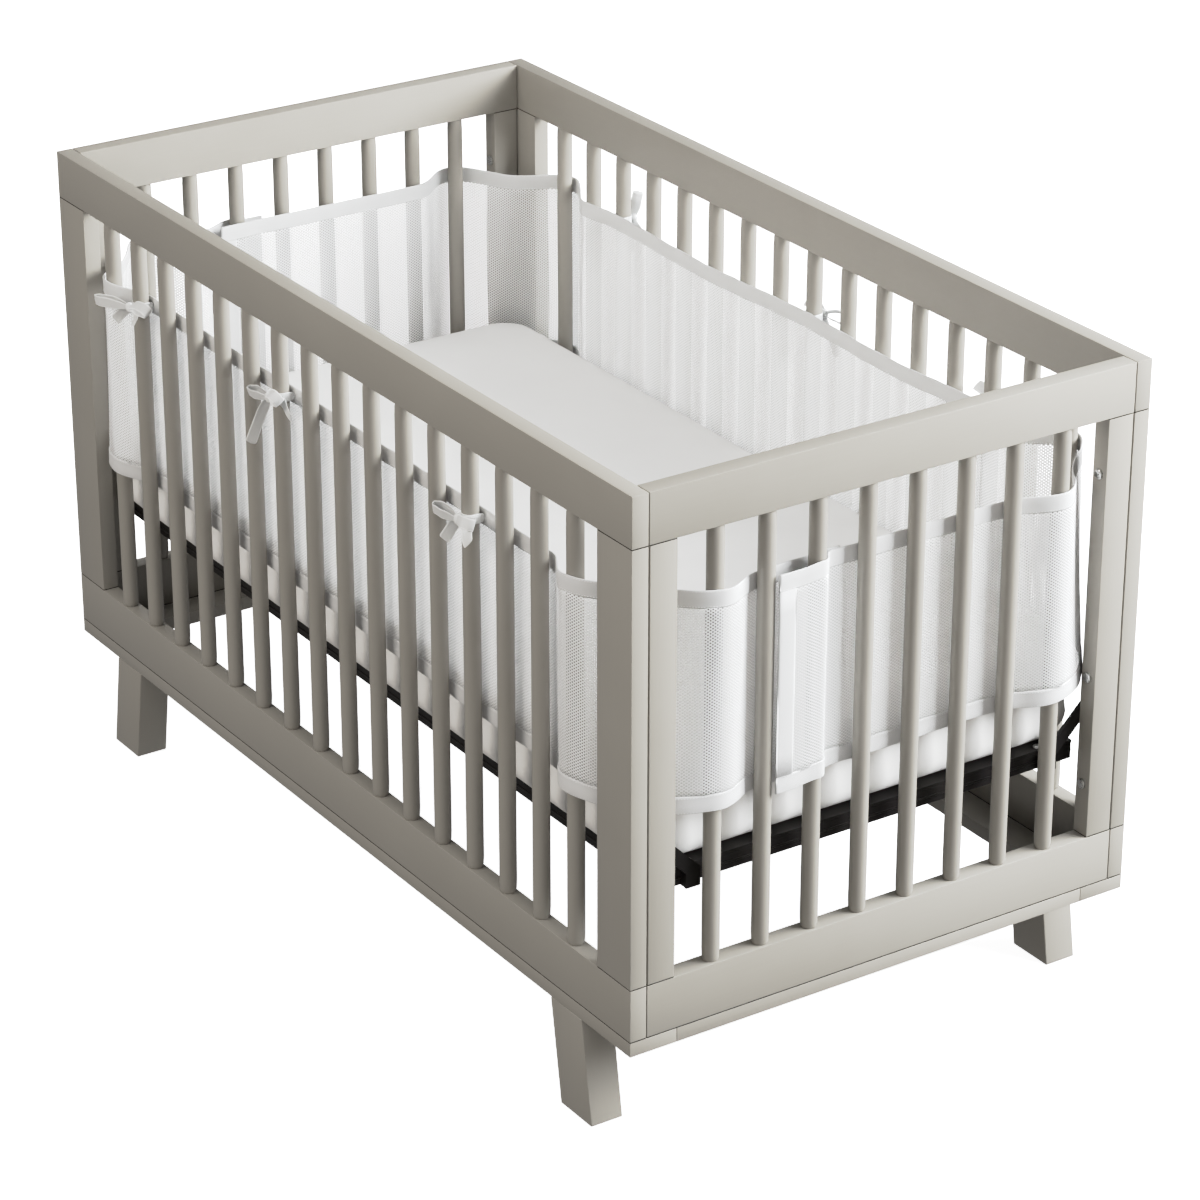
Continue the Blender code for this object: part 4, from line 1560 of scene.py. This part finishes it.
    def build(
        self,
        knit: bpy.types.Material,
        tape: bpy.types.Material,
        thread: bpy.types.Material,
        rests_on: list[str],
    ) -> None:
        """Builds the panel.

        Args:
            knit: the mesh's finish.
            tape: the bindings' finish.
            thread: the stitches' finish.
            rests_on: the crib's sides that hold it; not used.
        """
        height, last = self.route.height, float(self.route.last)
        foot = height - self.tape_width
        whole = self.places(0.0, last)
        bindings = (("top_binding", 0.0, True), ("bottom_binding", foot, False))
        for label, start, fold_first in bindings:
            node = f"{self.name}_{label}"
            piece = self.skin(node + "_tape", whole, self.tape_section(start, fold_first))
            dress(piece, tape, "white_binding", node)
        inner = self.tape_width - self.tape_lap
        depths = [inner + (height - 2 * inner) * step / 8 for step in range(9)]
        for label, first, end in (("first_band", 0.0, 1.0), ("last_band", last - 1.0, last)):
            node = f"{self.name}_{label}"
            rows = [(depth, self.tape_half * 0.9) for depth in depths]
            piece = self.skin(node + "_tape", self.places(first, end), rows, self.thin_ends)
            dress(piece, tape, "white_binding", node)
        seams = (
            self.tape_width - self.seam_inset,
            foot + self.seam_inset,
            self.rim_inset,
            height - self.rim_inset,
        )
        stitches = self.stitches(self.name + "_stitches", seams)
        dress(stitches, thread, "white_binding")
        deep = (height - 2 * inner) / self.mesh_rows
        rows = [inner + deep * step for step in range(self.mesh_rows + 1)]
        columns = self.places(self.mesh_start, last - self.mesh_start)
        mesh = self.skin(self.name + "_knit", columns, [(depth, self.mesh_half) for depth in rows])
        dress(mesh, knit, "white_mesh", self.name + "_mesh")
        cut = (self.flow(columns)[-1], rows[-1] - rows[0])
        LOG.info("%s: cut %.3f by %.3f m", self.name, *cut)


# ------------------------------------------------------------------ the ties
class BowPart(Enum):
    """The parts of a bow."""

    LOOP = "loop"
    TAIL = "tail"


@dataclass(frozen=True)
class Bow:
    """One loop or free end of a tie.

    angle is its way out of the knot, from +X upwards, lean how far that points outward, face how far
    the ribbon looks towards +X, and roll how far it is turned about its own length, all in degrees.
    open is how wide a loop stands open, and curl how far a free end bends, in metres.
    """

    part: BowPart
    length: float
    angle: float
    lean: float
    face: float = 25.0
    roll: float = 0.0
    open: float = 0.014
    curl: float = 0.006


LOOP, TAIL = BowPart.LOOP, BowPart.TAIL
FRONT_BOWS = (
    (
        Bow(LOOP, 0.066, 178, 16, 20, 8, 0.012),
        Bow(LOOP, 0.061, 18, 3, 10, 60, 0.020),
        Bow(TAIL, 0.036, 214, 14, 30, 10),
        Bow(TAIL, 0.030, -12, 12, 40, 8),
    ),
    (
        Bow(LOOP, 0.036, 172, 16, 30, 25, 0.014),
        Bow(LOOP, 0.046, 24, 14, 15, 66, 0.023),
        Bow(TAIL, 0.069, 242, 10, 52, 6),
        Bow(TAIL, 0.060, 2, 2, 30, -10),
    ),
    (
        Bow(LOOP, 0.041, 165, 14, 25, 20, 0.016),
        Bow(LOOP, 0.050, 20, 12, 20, 30, 0.020),
        Bow(TAIL, 0.034, 233, 14, 45, 0),
        Bow(TAIL, 0.036, -22, 10, 40, 10),
    ),
)
BACK_BOWS = (
    (
        Bow(LOOP, 0.044, 80, 4, -40, 10, 0.012),
        Bow(LOOP, 0.052, 198, 20, -20, 20, 0.016),
        Bow(TAIL, 0.055, 248, 8, -35, 0),
        Bow(TAIL, 0.044, -40, 10, -30, 0),
    ),
    (
        Bow(LOOP, 0.046, 172, 8, -20, 30, 0.018),
        Bow(LOOP, 0.042, 8, 16, -30, 55, 0.020),
        Bow(TAIL, 0.060, 236, 8, -40, 0),
        Bow(TAIL, 0.052, -62, 8, -30, 0),
    ),
    (
        Bow(LOOP, 0.058, 168, 5, -25, 35, 0.018),
        Bow(LOOP, 0.052, -4, 12, -20, 40, 0.018),
        Bow(TAIL, 0.050, 225, 10, -35, 0),
        Bow(TAIL, 0.058, -42, 10, -30, 0),
    ),
)


# Where a ribbon's lengthwise edges lie across it, as shares of half its width.
RIBBON_SHARES = (-1.0, -0.86, -0.4, 0.0, 0.4, 0.86, 1.0)


@dataclass
class Tie:
    """A ribbon that is sewn to the liner, passed round a slat and tied in a bow outside it."""

    crib: Crib
    route: LinerRoute
    side: Side
    slat: int
    bows: tuple[Bow, ...]
    width: float = 0.015
    half_thickness: float = 0.0004
    height: float = 0.0105
    knot_out: float = 0.0170
    knot_size: Point = (0.0062, 0.0052, 0.0072)
    knot_rings: int = 12
    knot_sides: int = 16
    pinched: float = 0.42
    wrap_gap: float = 0.0006
    wrap_steps: int = 16
    steps: int = 22

    @property
    def outward(self) -> float:
        """The way outward along Y."""
        return self.side.value[1]

    def world(self, point: Vector) -> Vector:
        """A point from the tie's own axes: along X, outward, and up from the knot."""
        foot = self.crib.point(self.side, self.crib.slat_place(self.side, self.slat), 0.0)
        z = self.route.top - self.height + point.z
        return Vector((foot.x + point.x, foot.y + self.outward * point.y, z))

    def strip(
        self, bm: bmesh.types.BMesh, points: list[Vector], across: list[Vector], crease: float
    ) -> float:
        """Adds a ribbon along points.

        Args:
            bm: the mesh that it joins.
            points: its middle line, in the tie's own axes.
            across: half its width at each point, as a vector.
            crease: how deep the fold along its middle is.

        Returns:
            Its length.
        """
        uv = bm.loops.layers.uv[CLOTH_UV]
        last = len(points) - 1
        rings, run_length = [], [0.0]
        for index, (point, half) in enumerate(zip(points, across)):
            heading = (points[min(index + 1, last)] - points[max(index - 1, 0)]).normalized()
            through = heading.cross(half).normalized()
            top, under = [], []
            for share in RIBBON_SHARES:
                fold = crease * (1 - abs(share)) * math.sin(math.pi * min(1.0, index / last * 1.6))
                thick = self.half_thickness * (1.0 if abs(share) < 0.9 else 0.5)
                rim = self.half_thickness * 0.35 if 0.8 < abs(share) < 0.9 else 0.0
                middle = point + half * share + through * fold
                top.append(middle + through * (thick + rim))
                under.append(middle - through * (thick + rim))
            rings.append([bm.verts.new(self.world(p)) for p in top + under[::-1]])
            if index:
                run_length.append(run_length[-1] + (point - points[index - 1]).length)
        width = across[last // 2].length
        sides = [share * width for share in RIBBON_SHARES]
        sides += sides[::-1]
        for step, (low, high) in enumerate(zip(rings, rings[1:])):
            for i in range(len(low)):
                j = (i + 1) % len(low)
                face = bm.faces.new((low[i], low[j], high[j], high[i]))
                corners = ((step, i), (step, j), (step + 1, j), (step + 1, i))
                for loop, (along, place) in zip(face.loops, corners):
                    loop[uv].uv = (run_length[along], sides[place])
        bm.faces.new(list(reversed(rings[0])))
        bm.faces.new(rings[-1])
        return run_length[-1]

    def loop_line(self, bow: Bow) -> tuple[list[Vector], list[Vector]]:
        """The middle line and half widths of a loop: out, round and back to the knot.

        Args:
            bow: the loop.

        Returns:
            Its points and the half width at each.
        """
        along, across, through = self.axes(bow)
        points, halves = [], []
        for step in range(self.steps + 1):
            turn = 2 * math.pi * step / self.steps
            far = (1 - math.cos(turn)) / 2
            open_by = math.sin(turn) * (0.35 + 0.65 * far)
            sag = -0.10 * far * far * bow.length
            point = along * (bow.length * far) + through * (bow.open * 0.5 * open_by)
            point += through * (0.0011 * far * math.sin(bow.length * 900.0 + step * 1.9))
            points.append(Vector((0.0, self.knot_out, sag)) + point)
            twist = 0.35 * math.sin(turn)
            spread = across * math.cos(twist) + along * math.sin(twist) * 0.5
            gather = self.gather(far * 2.4)
            halves.append(spread.normalized() * self.width / 2 * gather)
        return points, halves

    def gather(self, away: float) -> float:
        """The share of its width that the ribbon shows, pinched in the knot and whole from 1 on."""
        return self.pinched + (1.0 - self.pinched) * min(1.0, away)

    def tail_line(self, bow: Bow) -> tuple[list[Vector], list[Vector]]:
        """The middle line and half widths of a free end."""
        along, across, through = self.axes(bow)
        points, halves = [], []
        for step in range(self.steps // 2 + 1):
            share = step / (self.steps // 2)
            bend = math.sin(math.pi * share) * bow.curl + math.sin(2 * math.pi * share) * bow.curl * 0.4
            sag = -0.16 * share * share * bow.length
            point = along * (bow.length * share) + through * bend
            points.append(Vector((0.0, self.knot_out, sag)) + point)
            gather = self.gather(share * 3.0)
            turn = 0.35 * math.sin(math.pi * share)
            spread = across * math.cos(turn) + through * math.sin(turn)
            halves.append(spread.normalized() * self.width / 2 * gather)
        return points, halves

    @staticmethod
    def axes(bow: Bow) -> tuple[Vector, Vector, Vector]:
        """The directions along, across and through a loop or free end."""
        angle, lean, face = (math.radians(value) for value in (bow.angle, bow.lean, bow.face))
        flat = Vector((math.cos(angle), 0.0, math.sin(angle)))
        along = flat * math.cos(lean) + Vector((0.0, math.sin(lean), 0.0))
        looks = Vector((math.sin(face), math.cos(face), 0.0))
        across = along.cross(looks).normalized()
        across = Matrix.Rotation(math.radians(bow.roll), 3, along) @ across
        return along, across, along.cross(across)

    def wrap_line(self) -> tuple[list[Vector], list[Vector]]:
        """The ribbon's way round the slat, from the liner's binding to the knot."""
        radius = self.crib.slat_radius + self.wrap_gap
        points = [Vector((-radius, -self.route.offset, 0.0))]
        for step in range(self.wrap_steps + 1):
            angle = math.pi * (1 - step / self.wrap_steps)
            points.append(Vector((radius * math.cos(angle), radius * math.sin(angle), 0.0)))
        points.append(Vector((radius, -self.route.offset, 0.0)))
        return points, [Vector((0.0, 0.0, self.width * self.pinched))] * len(points)

    def knot(self, bm: bmesh.types.BMesh) -> None:
        """Adds the knot: a short band of ribbon wound round the bow's middle, with pinched folds."""
        wide, deep, tall = self.knot_size
        sides, last = self.knot_sides, self.knot_rings
        rings = []
        for step in range(last + 1):
            turn = math.pi * step / last
            height, swell = tall * math.cos(turn), math.sin(turn) ** 0.7
            ring = []
            for part in range(sides):
                around = 2 * math.pi * part / sides
                pinch = 1.0 + 0.10 * math.sin(3 * around + 2 * turn) + 0.05 * math.sin(7 * around)
                reach = swell * pinch
                spot = Vector((wide * reach * math.cos(around), deep * reach * math.sin(around), height))
                ring.append(self.world(spot + Vector((0.0, self.knot_out, 0.0))))
            rings.append([bm.verts.new(p) for p in (ring if 0 < step < last else ring[:1])])
        for low, high in zip(rings, rings[1:]):
            for i in range(sides):
                j = (i + 1) % sides
                corners = (low[i % len(low)], low[j % len(low)], high[j % len(high)], high[i % len(high)])
                bm.faces.new(list(dict.fromkeys(corners)))

    def build(self, node: str, ribbon: bpy.types.Material) -> None:
        """Builds the tie.

        Args:
            node: the solid that it stands for.
            ribbon: its finish.
        """
        bm = bmesh.new()
        bm.loops.layers.uv.new(CLOTH_UV)
        length = self.strip(bm, *self.wrap_line(), 0.0)
        for bow in self.bows:
            line = self.loop_line(bow) if bow.part is BowPart.LOOP else self.tail_line(bow)
            length += self.strip(bm, *line, 0.0012)
        self.knot(bm)
        thing = Workbench.cloth(node + "_ribbon", bm)
        Workbench.start([thing])
        smooth = thing.modifiers.new("smooth", "SUBSURF")
        smooth.levels = smooth.render_levels = 1
        bpy.ops.object.modifier_apply(modifier=smooth.name)
        dress(thing, ribbon, "white_ribbon", node)
        LOG.info("%s: ribbon %.3f m", node, length)


# ------------------------------------------------------------------ the studio
@dataclass(frozen=True)
class Panel:
    """A soft box that is turned to the crib.

    power is in watts, size its width and height, and gloss whether paint mirrors it.
    """

    name: str
    place: Point
    power: float
    size: tuple[float, float]
    tint: Colour
    gloss: bool = True

    def build(self) -> None:
        """Hangs the soft box."""
        lamp = bpy.data.lights.new(self.name, "AREA")
        lamp.shape = "RECTANGLE"
        lamp.energy = self.power
        lamp.size, lamp.size_y = self.size
        lamp.color = self.tint
        place = Vector(self.place)
        hang(lamp, place, place - Vector((0.0, 0.0, 0.5))).visible_glossy = self.gloss


@dataclass(frozen=True)
class Sky:
    """A wide light, far off.

    azimuth is counted from +X towards +Y, and height from the floor, both in degrees, like spread,
    which is how wide the light is.
    """

    name: str
    azimuth: float
    height: float
    power: float
    spread: float
    tint: Colour
    distance: float = 6.0

    def build(self) -> None:
        """Hangs the light."""
        lamp = bpy.data.lights.new(self.name, "SUN")
        lamp.energy = self.power
        lamp.angle = math.radians(self.spread)
        lamp.color = self.tint
        turn, rise = math.radians(self.azimuth), math.radians(self.height)
        flat = math.cos(rise)
        place = Vector((flat * math.cos(turn), flat * math.sin(turn), math.sin(rise))) * self.distance
        hang(lamp, place, place)


def hang(lamp: bpy.types.Light, place: Vector, backward: Vector) -> bpy.types.Object:
    """Puts a lamp at its place, with its back turned this way, and returns its object."""
    thing = bpy.data.objects.new(lamp.name, lamp)
    bpy.context.scene.collection.objects.link(thing)
    thing.location = place
    thing.rotation_euler = backward.to_track_quat("Z", "Y").to_euler()
    return thing


LIGHTS = (
    Panel("key", (2.6, 2.9, 2.4), 655.0, (3.0, 2.3), (0.94, 0.97, 1.0), gloss=False),
    Panel("fill", (-0.35, -3.0, 2.2), 60.0, (2.0, 1.2), (1.0, 0.955, 0.90)),
    Panel("low", (3.4, -1.5, 0.9), 22.0, (1.8, 1.2), (1.0, 0.965, 0.92)),
    Panel("head", (-3.4, 0.8, 1.05), 48.0, (1.8, 1.4), (1.0, 0.98, 0.96), gloss=False),
    Sky("top", -20.0, 82.0, 1.32, 60.0, (0.96, 0.98, 1.0)),
)


@dataclass
class Studio:
    """Pale floor, soft light and the photograph's point of view."""

    camera_place: Point = (4.1526, -2.7004, 2.6818)
    looks_at: Point = (0.0, 0.0468, 0.3493)
    lens: float = 124.8
    floor_size: float = 260.0
    air_tint: Colour = (0.99, 0.97, 0.955)
    air_strength: float = 0.25
    shoulder: tuple[tuple[float, float], ...] = (
        (0.30, 0.300),
        (0.55, 0.548),
        (0.80, 0.680),
        (1.10, 0.770),
        (1.45, 0.845),
        (1.80, 0.920),
    )
    white: float = 2.15

    def build(self) -> None:
        """Sets the floor, the lights and the camera."""
        self.build_floor()
        for light in LIGHTS:
            light.build()
        world = bpy.data.worlds.new("studio_air")
        world.use_nodes = True
        air = world.node_tree.nodes["Background"]
        air.inputs["Color"].default_value = (*self.air_tint, 1.0)
        air.inputs["Strength"].default_value = self.air_strength
        scene = bpy.context.scene
        scene.world = world
        scene.cycles.transparent_max_bounces = 32
        self.expose(scene.view_settings)
        self.build_camera()

    def expose(self, view: bpy.types.ColorManagedViewSettings) -> None:
        """Rolls bright whites off softly, as a camera does, so that lit cloth keeps its folds.

        Args:
            view: the scene's view settings.
        """
        view.view_transform = "Standard"
        view.use_curve_mapping = True
        curves = view.curve_mapping
        curves.use_clip = True
        curves.clip_max_x = self.white
        line = curves.curves[3]
        line.points[-1].location = (self.white, 1.0)
        for x, y in self.shoulder:
            line.points.new(x, y)
        for point in line.points:
            point.handle_type = "AUTO_CLAMPED"
        curves.update()

    def build_floor(self) -> None:
        """A wide floor."""
        Workbench.start()
        bpy.ops.mesh.primitive_plane_add(size=self.floor_size, location=(0.0, 0.0, 0.0))
        floor = bpy.context.object
        bpy.ops.object.mode_set(mode="EDIT")
        bpy.ops.mesh.subdivide(number_cuts=4)
        bpy.ops.object.mode_set(mode="OBJECT")
        Workbench.settle(floor, "studio_floor")
        floor.data.materials.append(FloorFinish().make())
        # The floor throws no light back, so that the crib's lower sides stay as dark as they are.
        floor.visible_diffuse = False
        floor.visible_glossy = False

    def build_camera(self) -> None:
        """The camera, at the photograph's viewing angle."""
        lens = bpy.data.cameras.new("camera")
        lens.lens = self.lens
        lens.sensor_width = 36.0
        thing = bpy.data.objects.new("camera", lens)
        bpy.context.scene.collection.objects.link(thing)
        thing.location = self.camera_place
        aim = Vector(self.looks_at) - Vector(self.camera_place)
        thing.rotation_euler = aim.to_track_quat("-Z", "Y").to_euler()
        bpy.context.scene.camera = thing


def main() -> None:
    """Builds the crib, its mattress, the liner and its ties, and then the studio."""
    logging.basicConfig(level=logging.INFO, format="%(name)s %(message)s")
    crib = Crib()
    crib.build()
    Support().build()
    Mattress().build()
    front = LinerRoute(crib, FRONT_ROUTE, (2, 7, 13), clockwise=True)
    back = LinerRoute(crib, BACK_ROUTE, (3, 9, 14), clockwise=False)
    knit, tape = MeshFinish().make(), TapeFinish().make()
    ribbon = RibbonFinish().make()
    thread = TapeFinish("white_thread", (0.86, 0.86, 0.86), 0.0005, 0.0, 0.6).make()
    for label, route, creases in (("front", front, FRONT_CREASES), ("back", back, BACK_CREASES)):
        held_by = [f"crib_{label}_side", "crib_foot_end", "crib_head_end"]
        LinerPanel(f"liner_{label}", route, creases).build(knit, tape, thread, held_by)
    for side, route, bows in ((Side.FRONT, front, FRONT_BOWS), (Side.BACK, back, BACK_BOWS)):
        for number, (slat, shape) in enumerate(zip(route.tie_slats, bows), start=1):
            Tie(crib, route, side, slat, shape).build(f"tie_{side.name.lower()}_{number}", ribbon)
    Studio().build()


if __name__ == "__main__":
    main()
